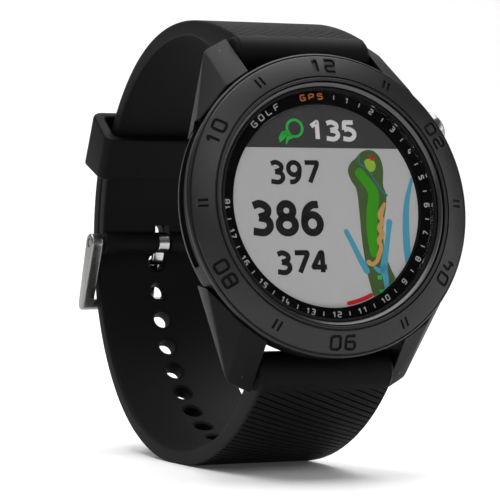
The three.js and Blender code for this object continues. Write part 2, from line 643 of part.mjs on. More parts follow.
// The tip is rounded in plan: two corner cutters take off what is outside the quarter rounds.
const tip = onStrap(strap6, strap6.length);
const corner = new THREE.Shape();
corner.moveTo(strapHalf + 1, 1);
corner.lineTo(strapHalf + 1, -tipCornerRadius);
corner.lineTo(strapHalf, -tipCornerRadius);
corner.absarc(strapHalf - tipCornerRadius, -tipCornerRadius, tipCornerRadius, 0, Math.PI / 2, false);
corner.lineTo(strapHalf - tipCornerRadius, 1);
const cornerCutters = [1, -1].map((right) => {
  const geometry = new THREE.ExtrudeGeometry(corner,
    { depth: 4 * longStrapWall, bevelEnabled: false, curveSegments: 8 });
  geometry.translate(0, 0, -2 * longStrapWall);
  const frame = new THREE.Matrix4().makeBasis(
    new THREE.Vector3(right, 0, 0),
    new THREE.Vector3(0, tip.along.x, tip.along.y),
    new THREE.Vector3(0, tip.outward.x, tip.outward.y));
  return solidOf(geometry.applyMatrix4(frame).translate(0, tip.at.x, tip.at.y));
});

// The strap is flat where the watch stands on it.
const lean = THREE.MathUtils.degToRad(leanBack);
const down = new THREE.Vector2(Math.sin(lean), -Math.cos(lean));
const lowest = Math.max(...strap6.line.getSpacedPoints(200).map((point) => point.dot(down)));
const restCutter = solidOf(new THREE.BoxGeometry(2 * strapWidth, 40, 4)
  .rotateX(lean).translate(0, ...down.clone().multiplyScalar(lowest - restDepth + 2)
    .addScaledVector(new THREE.Vector2(-down.y, down.x), 34).toArray()));

piece('strap_6', cut(
  join(acrossWatch(strapOutline(strap6, longStrapWall, 60), -strapHalf, strapHalf), barrelOf(strap6)),
  ends[1].room, ...holes, ...cornerCutters, restCutter), silicone);

// ---------------------------------------------------------------- keeper
/** A sector of a band around the wrist, carried across the watch. */
function wristBand(inner, outer, middleAngle, length, half) {
  const spread = length / (inner + outer);
  const middle = THREE.MathUtils.degToRad(middleAngle);
  const shape = new THREE.Shape();
  shape.absarc(wristCentre.x, wristCentre.y, outer, middle - spread, middle + spread, false);
  shape.absarc(wristCentre.x, wristCentre.y, inner, middle + spread, middle - spread, true);
  return acrossWatch(shape, -half, half);
}
const keeperInner = wristRadius - seatGap;
const keeperOuter = longStrapOuter + seatGap;
const keeperHalf = strapHalf + seatGap;
piece('keeper', cut(
  wristBand(keeperInner - keeperWall, keeperOuter + keeperWall, keeperAngle, keeperLength,
    keeperHalf + keeperSide),
  wristBand(keeperInner, keeperOuter, keeperAngle, 2 * keeperLength, keeperHalf),
), silicone);

// ---------------------------------------------------------------- buckle
// The frame's far bar lies on the outside of the long strap, one reach from its pin.
const farBarRadius = longStrapOuter + seatGap + buckleBarRadius;
const pinDistance = bucklePinAt.distanceTo(wristCentre);
const reachCos = (pinDistance ** 2 + farBarRadius ** 2 - buckleReach ** 2)
  / (2 * pinDistance * farBarRadius);
const farBarAngle = buckleAngle - THREE.MathUtils.radToDeg(Math.acos(reachCos));
const farBarAt = aroundWrist(farBarRadius, farBarAngle);

/** The outline around two circles, as an arm's side view. */
function armOutline(first, firstRadius, second, secondRadius) {
  const way = second.clone().sub(first);
  const facingAngle = Math.atan2(way.y, way.x);
  const open = Math.acos((firstRadius - secondRadius) / way.length());
  const shape = new THREE.Shape();
  shape.absarc(second.x, second.y, secondRadius, facingAngle - open, facingAngle + open, false);
  shape.absarc(first.x, first.y, firstRadius, facingAngle + open,
    facingAngle - open + 2 * Math.PI, false);
  return shape;
}
const arm = armOutline(bucklePinAt, buckleArmRadius, farBarAt, buckleBarRadius);
piece('buckle_frame', cut(
  join(acrossWatch(arm, buckleArmInner, buckleArmOuter),
    acrossWatch(arm, -buckleArmOuter, -buckleArmInner),
    crossPin(buckleBarRadius, farBarAt, -buckleArmInner - 0.5, buckleArmInner + 0.5)),
  crossPin(bucklePinRadius + runGap, bucklePinAt, -buckleArmOuter + 0.6, buckleArmOuter - 0.6),
), brushedSteel);
piece('buckle_bar', crossPin(bucklePinRadius, bucklePinAt,
  -buckleArmOuter + 0.9, buckleArmOuter - 0.9), brushedSteel);

// The tongue loops around the pin, comes out through a hole and rests on the far bar.
const tongueLoop = buckleBarrel - ringGap;
const tongueLine = new THREE.CatmullRomCurve3([
  [pinDistance + tongueLoop - tongueWall * 0.6, buckleAngle - 0.6],
  [longStrapInner, tongueHoleAngle + 0.6],
  [longStrapOuter, tongueHoleAngle - 0.9],
  [farBarRadius + buckleBarRadius + seatGap + tongueWall / 2, farBarAngle + 1.0],
  [farBarRadius + buckleBarRadius + seatGap + tongueWall / 2, farBarAngle - 2.2],
].map(([radius, degrees]) => {
  const at = aroundWrist(radius, degrees);
  return new THREE.Vector3(at.x, at.y, 0);
}));
const tongueEdge = (sign) => tongueLine.getSpacedPoints(14).map((point, i) => {
  const along = tongueLine.getTangentAt(i / 14);
  const out = new THREE.Vector2(-along.y, along.x).multiplyScalar((sign * tongueWall) / 2);
  return new THREE.Vector2(point.x, point.y).add(out);
});
piece('buckle_tongue', cut(
  join(crossPin(tongueLoop, bucklePinAt, -tongueWidth / 2, tongueWidth / 2, 24),
    acrossWatch([...tongueEdge(1), ...tongueEdge(-1).reverse()], -tongueWidth / 2, tongueWidth / 2)),
  crossPin(bucklePinRadius + runGap, bucklePinAt, -tongueWidth, tongueWidth),
), polishedSteel);

// ---------------------------------------------------------------- standing pose
watch.rotation.x = -lean;
watch.updateMatrixWorld(true);
const room = new THREE.Box3().setFromObject(watch, true);
const middle = room.getCenter(new THREE.Vector3());
watch.position.set(-middle.x, -middle.y, -room.min.z);
watch.updateMatrixWorld(true);

export default watch;
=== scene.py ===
"""Golf GPS watch, buckled and standing on its strap: the looks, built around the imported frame.

The watch's own axes are x towards 3 o'clock, depth from the glass towards the wrist and
height towards 12 o'clock, in millimetres, with depth 0 at the bezel's numerals.
"""
import math

import bmesh
import bpy
import numpy as np
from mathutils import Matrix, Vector


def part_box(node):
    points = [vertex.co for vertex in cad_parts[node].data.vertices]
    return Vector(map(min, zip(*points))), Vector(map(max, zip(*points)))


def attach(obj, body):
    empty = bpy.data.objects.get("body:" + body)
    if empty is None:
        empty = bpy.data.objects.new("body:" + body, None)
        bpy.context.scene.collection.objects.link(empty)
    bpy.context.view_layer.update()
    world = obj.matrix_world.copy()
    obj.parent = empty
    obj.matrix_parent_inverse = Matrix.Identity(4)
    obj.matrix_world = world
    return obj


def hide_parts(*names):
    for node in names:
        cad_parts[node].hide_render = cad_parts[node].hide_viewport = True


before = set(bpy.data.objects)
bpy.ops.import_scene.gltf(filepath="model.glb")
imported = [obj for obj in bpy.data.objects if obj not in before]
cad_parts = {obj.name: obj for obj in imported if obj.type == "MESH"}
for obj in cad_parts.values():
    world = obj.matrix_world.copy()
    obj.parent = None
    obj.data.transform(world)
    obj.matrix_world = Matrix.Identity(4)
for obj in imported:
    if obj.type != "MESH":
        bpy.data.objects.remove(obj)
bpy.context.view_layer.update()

# ---------------------------------------------------------------- where the watch stands
# The watch leans back on its strap. The cover glass is a plain disc, so its box's middle is
# the middle of the glass, and that fixes the dial's middle in the frame.
LEAN = math.radians(9.76)
GLASS_FRONT, GLASS_BACK = 0.3, 1.8

lens_low, lens_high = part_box("lens")
glass_middle = (np.array(lens_low) + np.array(lens_high)) / 2


def leaned(points):
    """Turns watch directions (x, depth, height) back by the lean, about the x axis."""
    p = np.asarray(points, float)
    depth = p[..., 1] * math.cos(LEAN) + p[..., 2] * math.sin(LEAN)
    height = p[..., 2] * math.cos(LEAN) - p[..., 1] * math.sin(LEAN)
    return np.stack([p[..., 0], depth, height], axis=-1)


dial_middle = glass_middle - leaned([0, (GLASS_FRONT + GLASS_BACK) / 2, 0]) / 1000


def placed(points):
    """Watch millimetres (x, depth, height) to metres in the frame."""
    return leaned(points) / 1000 + dial_middle


# ---------------------------------------------------------------- camera
# A long lens at dial height, to the front left of the watch.
CAMERA_FROM_DIAL = Vector((-0.16487, -0.33884, -0.00280))
CAMERA_FORWARD = Vector((0.4080, 0.9129, -0.0110))
CAMERA_LENS = 182.5


def linked(name, data):
    """A new object at the origin for a mesh, lamp or camera, linked into the scene."""
    made = bpy.data.objects.new(name, data)
    bpy.context.scene.collection.objects.link(made)
    return made


camera_data = bpy.data.cameras.new("camera")
camera_data.lens = CAMERA_LENS
camera_data.sensor_width = 36
camera = linked("camera", camera_data)
camera.location = Vector(dial_middle) + CAMERA_FROM_DIAL
camera.rotation_euler = CAMERA_FORWARD.to_track_quat("-Z", "Y").to_euler()
bpy.context.scene.camera = camera

# ---------------------------------------------------------------- middle case and lugs
# The middle case is moulded from fibre-filled polymer, satin black, with four faceted lugs.
# Its ring is turned here, each lug is a hull of flat facets with softened edges, and the
# wells for the strap ends and the button are cut from the whole.
CASE_RADIUS, CASE_FRONT, CASE_WAIST, CASE_BACK = 22.75, 2.0, 5.0, 10.0
CASE_BACK_RADIUS, POCKET_RADIUS = 20.4, 16.9
LUG_INNER, LUG_OUTER, LUG_REACH = 11.3, 14.8, 27.1
LUG_PIN_DEPTH, LUG_PIN_HEIGHT, STRAP_BARREL = 8.5, 24.1, 3.2
RECESSES = ((247, 304), (76, 113))
RECESS_FRONT, RECESS_BACK, RECESS_DEEP = 2.75, 4.55, 0.55
BEZEL_ROOM_RADIUS, WELL_CLEARANCE, LUG_EDGE = 23.3, 0.3, 0.28
BUTTON_CLOCK, BUTTON_DEPTH, BUTTON_RADIUS = math.radians(58), 5.9, 2.6
BUTTON_WELL_RADIUS, BUTTON_WELL_FOOT, BUTTON_WELL_TOP = 3.1, 21.4, 27


def linear(color):
    """An sRGB hex colour as linear red, green, blue and alpha."""
    channels = [int(color[i:i + 2], 16) / 255 for i in (1, 3, 5)]
    return [c / 12.92 if c <= 0.04045 else ((c + 0.055) / 1.055) ** 2.4
            for c in channels] + [1.0]


def add_node(tree, kind, inputs=None, **settings):
    """Adds a node. Its inputs are values, or outputs of other nodes to link from."""
    made = tree.nodes.new(kind)
    for name, value in settings.items():
        setattr(made, name, value)
    for name, value in (inputs or {}).items():
        if isinstance(value, bpy.types.NodeSocket):
            tree.links.new(value, made.inputs[name])
        else:
            made.inputs[name].default_value = value
    return made


def new_material(name, color, roughness, metallic=0.0, **sockets):
    """A material with its shader set, and its node tree, shader and object coordinates."""
    material = bpy.data.materials.new(name)
    material.use_nodes = True
    tree = material.node_tree
    shader = tree.nodes["Principled BSDF"]
    shader.inputs["Base Color"].default_value = linear(color)
    shader.inputs["Roughness"].default_value = roughness
    shader.inputs["Metallic"].default_value = metallic
    for socket, value in sockets.items():
        shader.inputs[socket.replace("_", " ")].default_value = value
    place = add_node(tree, "ShaderNodeTexCoord").outputs["Object"]
    return material, tree, shader, place


def grained(name, color, roughness, grain_mm, bump_mm, darker=0.85, rough_range=0.08,
            metallic=0.0, **sockets):
    """A material with a fine grain: noise of that size moves its colour, gloss and bump."""
    material, tree, shader, place = new_material(name, color, roughness, metallic, **sockets)
    grain = add_node(tree, "ShaderNodeTexNoise",
                     {"Vector": place, "Scale": 1000 / grain_mm, "Detail": 4.0})
    patches = add_node(tree, "ShaderNodeTexNoise",
                       {"Vector": place, "Scale": 60.0, "Detail": 2.0})
    shade = add_node(tree, "ShaderNodeMapRange",
                     {"Value": patches.outputs["Fac"], "From Min": 0.3, "From Max": 0.7,
                      "To Min": darker, "To Max": 1.0})
    tint = add_node(tree, "ShaderNodeMix",
                    {"Factor": shade.outputs["Result"], "A": [0, 0, 0, 1],
                     "B": linear(color)}, data_type="RGBA")
    gloss = add_node(tree, "ShaderNodeMapRange",
                     {"Value": grain.outputs["Fac"], "From Min": 0.3, "From Max": 0.7,
                      "To Min": roughness - rough_range, "To Max": roughness + rough_range})
    relief = add_node(tree, "ShaderNodeBump",
                      {"Height": grain.outputs["Fac"], "Strength": 0.6,
                       "Distance": bump_mm / 1000})
    tree.links.new(tint.outputs["Result"], shader.inputs["Base Color"])
    tree.links.new(gloss.outputs["Result"], shader.inputs["Roughness"])
    tree.links.new(relief.outputs["Normal"], shader.inputs["Normal"])
    return material


def new_piece(name, points, faces, material, body="watch", slot=None, replaces=(),
              sharp=35.0, smooth=True):
    """A mesh of watch-millimetre points, placed in the frame and riding on its body."""
    mesh = bpy.data.meshes.new(name)
    mesh.from_pydata(placed(np.asarray(points, float).reshape(-1, 3)).tolist(), [],
                     [list(map(int, face)) for face in faces])
    mesh.validate()
    mesh.materials.append(material)
    piece = linked(name, mesh)
    shade(piece, sharp, smooth)
    if body:
        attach(piece, body)
    if replaces:
        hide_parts(*replaces)
    return piece


def shade(piece, sharp=35.0, smooth=True):
    """Smooth shading with edges sharper than an angle kept crisp."""
    piece.data.polygons.foreach_set("use_smooth", [smooth] * len(piece.data.polygons))
    if smooth:
        piece.data.set_sharp_from_angle(angle=math.radians(sharp))


def grid_faces(rows, columns, wrap_rows=False, wrap_columns=False):
    """Quads of a grid of points in row order, closed around in one or both ways."""
    r = np.arange(rows if wrap_rows else rows - 1)[:, None]
    c = np.arange(columns if wrap_columns else columns - 1)[None, :]
    r1, c1 = (r + 1) % rows, (c + 1) % columns
    faces = np.stack([r * columns + c, r * columns + c1, r1 * columns + c1,
                      r1 * columns + c], axis=-1)
    return faces.reshape(-1, 4).tolist()


def turned(profile, steps=256):
    """A profile of (radius, depth) carried around the dial, closed or from axis to axis."""
    profile = np.array(profile, float)
    turn = np.linspace(0, 2 * math.pi, steps, endpoint=False)[:, None]
    radius, depth = profile[None, :, 0], profile[None, :, 1]
    points = np.stack([radius * np.sin(turn), depth + 0 * turn, radius * np.cos(turn)], -1)
    return points, grid_faces(steps, len(profile), True, profile[0, 0] > 0)


def outward(piece):
    """Points every face outwards, after doubled points are merged."""
    work = bmesh.new()
    work.from_mesh(piece.data)
    bmesh.ops.remove_doubles(work, verts=work.verts, dist=1e-7)
    bmesh.ops.recalc_face_normals(work, faces=work.faces)
    work.to_mesh(piece.data)
    work.free()


def combined(piece, tools, operation, self_crossing=False):
    """Joins or cuts a piece with other closed meshes and keeps one plain mesh."""
    for tool in tools:
        change = piece.modifiers.new("combine", "BOOLEAN")
        change.operation = operation
        change.solver = "EXACT"
        change.use_self = self_crossing
        change.material_mode = "TRANSFER"
        change.object = tool
    kept_mesh(piece)
    for tool in tools:
        bpy.data.objects.remove(tool)


def kept_mesh(piece):
    """Makes what a piece's modifiers show its own mesh."""
    bpy.context.view_layer.update()
    seen = piece.evaluated_get(bpy.context.evaluated_depsgraph_get())
    mesh = bpy.data.meshes.new_from_object(seen)
    piece.modifiers.clear()
    piece.data = mesh


def softened(piece, width_mm, segments=3, angle=20.0):
    """Rounds a piece's edges that are sharper than an angle."""
    edge = piece.modifiers.new("edges", "BEVEL")
    edge.width = width_mm / 1000
    edge.segments = segments
    edge.limit_method = "ANGLE"
    edge.angle_limit = math.radians(angle)
    edge.miter_outer = "MITER_ARC"
    kept_mesh(piece)


def on_clock(radius, clock):
    """(x, height) at a radius and a clock angle in radians."""
    return radius * math.sin(clock), radius * math.cos(clock)


def hull(name, corners, material):
    """The smallest closed body of flat facets around some points, before it is given away."""
    work = bmesh.new()
    for corner in placed(corners):
        work.verts.new(corner)
    bmesh.ops.convex_hull(work, input=work.verts)
    bmesh.ops.dissolve_limit(work, angle_limit=math.radians(1), verts=work.verts,
                             edges=work.edges)
    bmesh.ops.recalc_face_normals(work, faces=work.faces)
    mesh = bpy.data.meshes.new(name)
    work.to_mesh(mesh)
    work.free()
    mesh.materials.append(material)
    return linked(name, mesh)


def prism_faces(count):
    """Faces of two like outlines, one above the other: a quad on each side and two ends."""
    sides = [[i, (i + 1) % count, count + (i + 1) % count, count + i] for i in range(count)]
    return sides + [list(range(count))[::-1], list(range(count, 2 * count))]


def rod(name, start, end, radius, material, steps=48):
    """A plain round bar between two watch-millimetre points, used as a cutter or a pin."""
    start, end = np.array(start, float), np.array(end, float)
    along = (end - start) / np.linalg.norm(end - start)
    side = np.cross(along, [0.31, 0.71, 0.53])
    side /= np.linalg.norm(side)
    other = np.cross(along, side)
    turn = np.linspace(0, 2 * math.pi, steps, endpoint=False)[:, None]
    ring = radius * (np.cos(turn) * side + np.sin(turn) * other)
    points = np.concatenate([start + ring, end + ring])
    made = new_piece(name, points, prism_faces(steps), material, body=None)
    outward(made)
    return made


def ring_sector(inner, outer, front, back, first, last, steps=48):
    """A block bent around the dial between two clock angles in degrees."""
    turn = np.radians(np.linspace(first, last, steps))[:, None]
    radius = np.array([[inner, outer, outer, inner]])
    depth = np.array([[front, front, back, back]]) + 0 * turn
    points = np.stack([radius * np.sin(turn), depth, radius * np.cos(turn)], -1)
    faces = grid_faces(steps, 4, False, True)
    return points, faces + [[0, 1, 2, 3], [4 * steps - 4 + k for k in (3, 2, 1, 0)]]


# Glass-filled nylon, moulded with a fine spark-eroded texture: dark, satin, no clear shine.
case_polymer = grained("satin_black_nylon", "#0d0d0e", 0.48, 0.12, 0.012,
                       Specular_IOR_Level=0.1)

case_points, case_faces = turned([
    (POCKET_RADIUS, CASE_BACK), (POCKET_RADIUS, CASE_FRONT + 0.7), (18.6, CASE_FRONT + 0.7),
    (18.6, CASE_FRONT), (CASE_RADIUS - 0.2, CASE_FRONT), (CASE_RADIUS, CASE_FRONT + 0.2),
    (CASE_RADIUS, CASE_WAIST - 0.4), (CASE_RADIUS - 0.12, CASE_WAIST + 0.3),
    (CASE_BACK_RADIUS + 0.2, CASE_BACK - 0.4), (CASE_BACK_RADIUS - 0.2, CASE_BACK)])
case = new_piece("case_shell", case_points, case_faces, case_polymer)
outward(case)

lug_bodies = []
for right in (1, -1):
    for up in (1, -1):
        ridge_x, ridge_z = on_clock(CASE_RADIUS + 0.75, math.radians(40.3))
        flank_x, flank_z = on_clock(CASE_RADIUS + 0.7, math.radians(58.6))
        waist_x, waist_z = on_clock(CASE_RADIUS - 0.5, math.radians(60.7))
        back_x, back_z = on_clock(CASE_BACK_RADIUS + 0.3, math.radians(53.2))
        corners = np.array([
            (LUG_INNER, LUG_PIN_DEPTH + 0.8, LUG_REACH),
            (LUG_OUTER, LUG_PIN_DEPTH + 1.4, LUG_REACH - 1.8),
            (LUG_INNER, CASE_BACK + 0.3, LUG_REACH - 0.6),
            (LUG_OUTER - 0.5, CASE_BACK + 0.3, LUG_REACH - 2.3),
            (LUG_INNER, CASE_FRONT - 0.5, 20.0), (ridge_x, CASE_FRONT - 0.5, ridge_z),
            (flank_x, CASE_FRONT + 0.7, flank_z), (waist_x, CASE_WAIST + 2.8, waist_z),
            (back_x, CASE_BACK, back_z), (LUG_INNER, CASE_BACK, 17.6)]) * (right, 1, up)
        lug = hull("lug", corners, case_polymer)
        softened(lug, LUG_EDGE)
        lug_bodies.append(lug)
combined(case, lug_bodies, "UNION")

button_way = np.array([math.sin(BUTTON_CLOCK), 0, math.cos(BUTTON_CLOCK)])
button_foot = np.array([0, BUTTON_DEPTH, 0])
cutters = [rod("well", (-LUG_INNER, LUG_PIN_DEPTH, up * LUG_PIN_HEIGHT),
               (LUG_INNER, LUG_PIN_DEPTH, up * LUG_PIN_HEIGHT), STRAP_BARREL + WELL_CLEARANCE,
               case_polymer) for up in (1, -1)]
cutters.append(rod("well", button_foot + BUTTON_WELL_FOOT * button_way,
                   button_foot + BUTTON_WELL_TOP * button_way, BUTTON_WELL_RADIUS,
                   case_polymer))
for first, last in RECESSES:
    sector = ring_sector(CASE_RADIUS - RECESS_DEEP, 24.5, RECESS_FRONT, RECESS_BACK,
                         first, last)
    cutters.append(new_piece("recess", *sector, case_polymer, body=None))
    outward(cutters[-1])
room = new_piece("room", *turned([(10, -3), (BEZEL_ROOM_RADIUS, -3),
                                  (BEZEL_ROOM_RADIUS, CASE_FRONT - 0.02),
                                  (10, CASE_FRONT - 0.02)]), case_polymer, body=None)
outward(room)
combined(case, cutters + [room], "DIFFERENCE")
shade(case, 30)
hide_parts("mid_case")

# ---------------------------------------------------------------- bezel
# The bezel is a steel ring with a black diamond-like coating. It is turned, with a polished
# lip and groove inside and out, then the numerals and bars are engraved and filled in black.
BEZEL_INNER, BEZEL_RADIUS, BEZEL_BACK = 18.46, 23.0, 1.7
FACE_INNER, FACE_INNER_DEPTH, FACE_OUTER, FACE_OUTER_DEPTH = 19.35, -0.62, 22.35, 0.52
NUMERAL_RADIUS, NUMERAL_HEIGHT, NUMERAL_WIDTH = 20.88, 2.45, 1.95
NUMERAL_STROKE, NUMERAL_GAP, ENGRAVING_DEPTH = 0.46, 0.45, 0.16
BAR_LENGTH, BAR_WIDTH, BAR_SPACING = 1.55, 0.38, 0.85


def brushed_ring(name, color, roughness, lines_mm, bump_mm, **sockets):
    """Coated metal turned about the dial: fine rings around its axis move gloss and bump."""
    material, tree, shader, place = new_material(name, color, roughness, 1.0, **sockets)
    centred = add_node(tree, "ShaderNodeMapping",
                       {"Vector": place, "Location": tuple(-dial_middle)})
    upright = add_node(tree, "ShaderNodeMapping",
                       {"Vector": centred.outputs["Vector"], "Rotation": (LEAN, 0, 0)})
    split = add_node(tree, "ShaderNodeSeparateXYZ", {"Vector": upright.outputs["Vector"]})
    squared = add_node(tree, "ShaderNodeMath",
                       {0: split.outputs["X"], 1: split.outputs["X"]}, operation="MULTIPLY")
    both = add_node(tree, "ShaderNodeMath",
                    {0: split.outputs["Z"], 1: split.outputs["Z"], 2: squared.outputs[0]},
                    operation="MULTIPLY_ADD")
    radius = add_node(tree, "ShaderNodeMath", {0: both.outputs[0]}, operation="SQRT")
    lines = add_node(tree, "ShaderNodeTexNoise",
                     {"W": radius.outputs[0], "Scale": 1000 / lines_mm, "Detail": 3.0},
                     noise_dimensions="1D")
    blotches = add_node(tree, "ShaderNodeTexNoise", {"Vector": place, "Scale": 180.0})
    mixed = add_node(tree, "ShaderNodeMath",
                     {0: blotches.outputs["Fac"], 1: 0.5, 2: lines.outputs["Fac"]},
                     operation="MULTIPLY_ADD")
    gloss = add_node(tree, "ShaderNodeMapRange",
                     {"Value": mixed.outputs[0], "From Min": 0.45, "From Max": 1.05,
                      "To Min": roughness - 0.06, "To Max": roughness + 0.08})
    relief = add_node(tree, "ShaderNodeBump",
                      {"Height": lines.outputs["Fac"], "Strength": 0.35,
                       "Distance": bump_mm / 1000})
    tree.links.new(gloss.outputs["Result"], shader.inputs["Roughness"])
    tree.links.new(relief.outputs["Normal"], shader.inputs["Normal"])
    return material


# Carbon coating over brushed steel: dark grey metal with a soft, slightly streaked sheen.
bezel_coating = brushed_ring("carbon_coated_steel", "#363637", 0.4, 0.12, 0.004)
# Black enamel baked into the engraving: darker and smoother than the coating around it.
numeral_enamel = grained("black_enamel", "#040404", 0.5, 0.2, 0.004, Specular_IOR_Level=0.1)

bezel_points, bezel_faces = turned([
    (BEZEL_INNER, BEZEL_BACK), (BEZEL_INNER, -0.62), (18.52, -0.76), (18.64, -0.84),
    (18.80, -0.86), (18.92, -0.80), (18.97, -0.70), (18.98, -0.46), (19.16, -0.44),
    (19.18, -0.60), (19.24, -0.66), (FACE_INNER, FACE_INNER_DEPTH),
    (FACE_OUTER, FACE_OUTER_DEPTH), (22.46, 0.60), (22.52, 0.72), (22.53, 0.95),
    (22.66, 0.97), (22.68, 0.88), (22.76, 0.84), (22.88, 0.90), (22.97, 1.02),
    (BEZEL_RADIUS, 1.16), (BEZEL_RADIUS, 1.55), (22.9, BEZEL_BACK)], 384)
bezel = new_piece("bezel_ring", bezel_points, bezel_faces, bezel_coating, sharp=28)
outward(bezel)

# Each numeral and letter is strokes through points of a cell that is 1 wide and 1 high.
STROKES = {
    "0": [([(0, 0), (1, 0), (1, 1), (0, 1)], True)],
    "1": [([(0.22, 0.74), (0.66, 1), (0.66, 0)], False)],
    "2": [([(0, 1), (1, 1), (1, 0.5), (0, 0.5), (0, 0), (1, 0)], False)],
    "3": [([(0, 1), (1, 1), (1, 0), (0, 0)], False), ([(0.3, 0.52), (1, 0.52)], False)],
    "4": [([(0.1, 1), (0, 0.32), (1, 0.32)], False), ([(0.78, 0.62), (0.78, 0)], False)],
    "5": [([(1, 1), (0, 1), (0, 0.55), (1, 0.55), (1, 0), (0, 0)], False)],
    "6": [([(1, 1), (0, 1), (0, 0), (1, 0), (1, 0.56), (0, 0.56)], False)],
    "7": [([(0, 1), (1, 1), (0.35, 0)], False)],
    "8": [([(0, 0), (1, 0), (1, 1), (0, 1)], True), ([(0, 0.52), (1, 0.52)], False)],
    "9": [([(0, 0), (1, 0), (1, 1), (0, 1), (0, 0.44), (1, 0.44)], False)],
    "F": [([(1, 1), (0, 1), (0, 0)], False), ([(0, 0.5), (0.85, 0.5)], False)],
    "G": [([(1, 1), (0, 1), (0, 0), (1, 0), (1, 0.5), (0.5, 0.5)], False)],
    "L": [([(0, 1), (0, 0), (1, 0)], False)],
    "O": [([(0, 0), (1, 0), (1, 1), (0, 1)], True)],
    "P": [([(0, 0), (0, 1), (1, 1), (1, 0.42), (0, 0.42)], False)],
    "S": [([(1, 1), (0, 1), (0, 0.55), (1, 0.55), (1, 0), (0, 0)], False)],
}


def rounded(points, radius, closed):
    """A path with each corner replaced by a short round: points on a quadratic curve."""
    points = np.array(points, float)
    count = len(points)
    out = []
    for i, corner in enumerate(points):
        if not closed and i in (0, count - 1):
            out.append(corner)
            continue
        before, after = points[i - 1] - corner, points[(i + 1) % count] - corner
        length_before, length_after = np.linalg.norm(before), np.linalg.norm(after)
        reach = min(radius, 0.45 * length_before, 0.45 * length_after)
        first = corner + before / length_before * reach
        last = corner + after / length_after * reach
        for u in np.linspace(0, 1, 5):
            out.append((1 - u) ** 2 * first + 2 * u * (1 - u) * corner + u * u * last)
    return np.array(out)


def stroke_prism(path, width, low, high, closed):
    """A stroke of a width along a flat path, standing between two heights: points, faces."""
    path = np.array(path, float)
    count = len(path)
    if closed:
        ahead = np.roll(path, -1, 0) - path
        behind = path - np.roll(path, 1, 0)
    else:
        ahead = np.vstack([path[1:] - path[:-1], path[-1:] - path[-2:-1]])
        behind = np.vstack([path[1:2] - path[:1], path[1:] - path[:-1]])
    ahead /= np.linalg.norm(ahead, axis=1)[:, None]
    behind /= np.linalg.norm(behind, axis=1)[:, None]
    normal = np.stack([-(ahead + behind)[:, 1], (ahead + behind)[:, 0]], -1)
    normal /= np.linalg.norm(normal, axis=1)[:, None]
    spread = np.clip(np.einsum("ij,ij->i", normal, np.stack([-ahead[:, 1], ahead[:, 0]], -1)),
                     0.5, 1)
    side = normal * (width / 2 / spread)[:, None]
    left, right = path + side, path - side
    rows = []
    for edge, level in ((left, high), (right, high), (right, low), (left, low)):
        rows.append(np.column_stack([edge, np.full(count, level)]))
    points = np.stack(rows, axis=1).reshape(-1, 3)
    faces = grid_faces(count, 4, closed, True)
    if not closed:
        faces += [[0, 1, 2, 3], [4 * count - 1, 4 * count - 2, 4 * count - 3, 4 * count - 4]]
    return points, faces


def around_dial(flat, clock, tops_in, middle_radius, middle_depth, slope=0.0):
    """Carries (across, up, out) millimetres to a radius, depth and clock angle of the dial.

    Up runs outwards along a face that falls by the slope, and out stands square to it.
    """
    sign = -1 if tops_in else 1
    across, up, out = sign * flat[:, 0], sign * flat[:, 1], flat[:, 2]
    radius = middle_radius + up * math.cos(slope) + out * math.sin(slope)
    depth = middle_depth + up * math.sin(slope) - out * math.cos(slope)
    x = across * math.cos(clock) + radius * math.sin(clock)
    height = -across * math.sin(clock) + radius * math.cos(clock)
    return np.column_stack([x, depth, height])


def on_bezel_face(flat, clock, tops_in):
    """Marks on the bezel's sloping face, centred at the numerals' radius."""
    slope = math.atan2(FACE_OUTER_DEPTH - FACE_INNER_DEPTH, FACE_OUTER - FACE_INNER)
    middle_depth = FACE_INNER_DEPTH + (NUMERAL_RADIUS - FACE_INNER) * math.tan(slope)
    return around_dial(flat, clock, tops_in, NUMERAL_RADIUS, middle_depth, slope)


def label_strokes(label, width, height, gap, stroke, low, high):
    """The strokes of a label as prisms, centred on 0, 0 and standing between two levels."""
    advance = width + gap
    size = np.array([width - stroke, height - stroke])
    prisms = []
    for n, sign in enumerate(label):
        left = (n - (len(label) - 1) / 2) * advance - width / 2 + stroke / 2
        for cell_path, closed in STROKES[sign]:
            path = np.array(cell_path) * size + (left, (stroke - height) / 2)
            prisms.append(stroke_prism(rounded(path, 0.2 * height, closed), stroke,
                                       low, high, closed))
    return prisms


def joined(parts):
    """Several (points, faces) as one."""
    points, faces, count = [], [], 0
    for part_points, part_faces in parts:
        part_points = np.asarray(part_points, float).reshape(-1, 3)
        points.append(part_points)
        faces += [[index + count for index in face] for face in part_faces]
        count += len(part_points)
    return np.concatenate(points), faces


marks = []
for hour in (12, 2, 4, 6, 8, 10):
    clock = math.radians(30 * hour)
    for points, faces in label_strokes(f"{hour:02d}", NUMERAL_WIDTH, NUMERAL_HEIGHT,
                                       NUMERAL_GAP, NUMERAL_STROKE, -ENGRAVING_DEPTH, 0.4):
        marks.append((on_bezel_face(points, clock, hour in (4, 6, 8)), faces))
for hour in (1, 3, 5, 7, 9, 11):
    for x in (-BAR_SPACING / 2, BAR_SPACING / 2):
        points, faces = stroke_prism([(x, -BAR_LENGTH / 2), (x, BAR_LENGTH / 2)], BAR_WIDTH,
                                     -ENGRAVING_DEPTH, 0.4, False)
        marks.append((on_bezel_face(points, math.radians(30 * hour), False), faces))
engraving = new_piece("engraving", *joined(marks), numeral_enamel, body=None)
outward(engraving)
combined(bezel, [engraving], "DIFFERENCE", self_crossing=True)
shade(bezel, 28)
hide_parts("bezel")

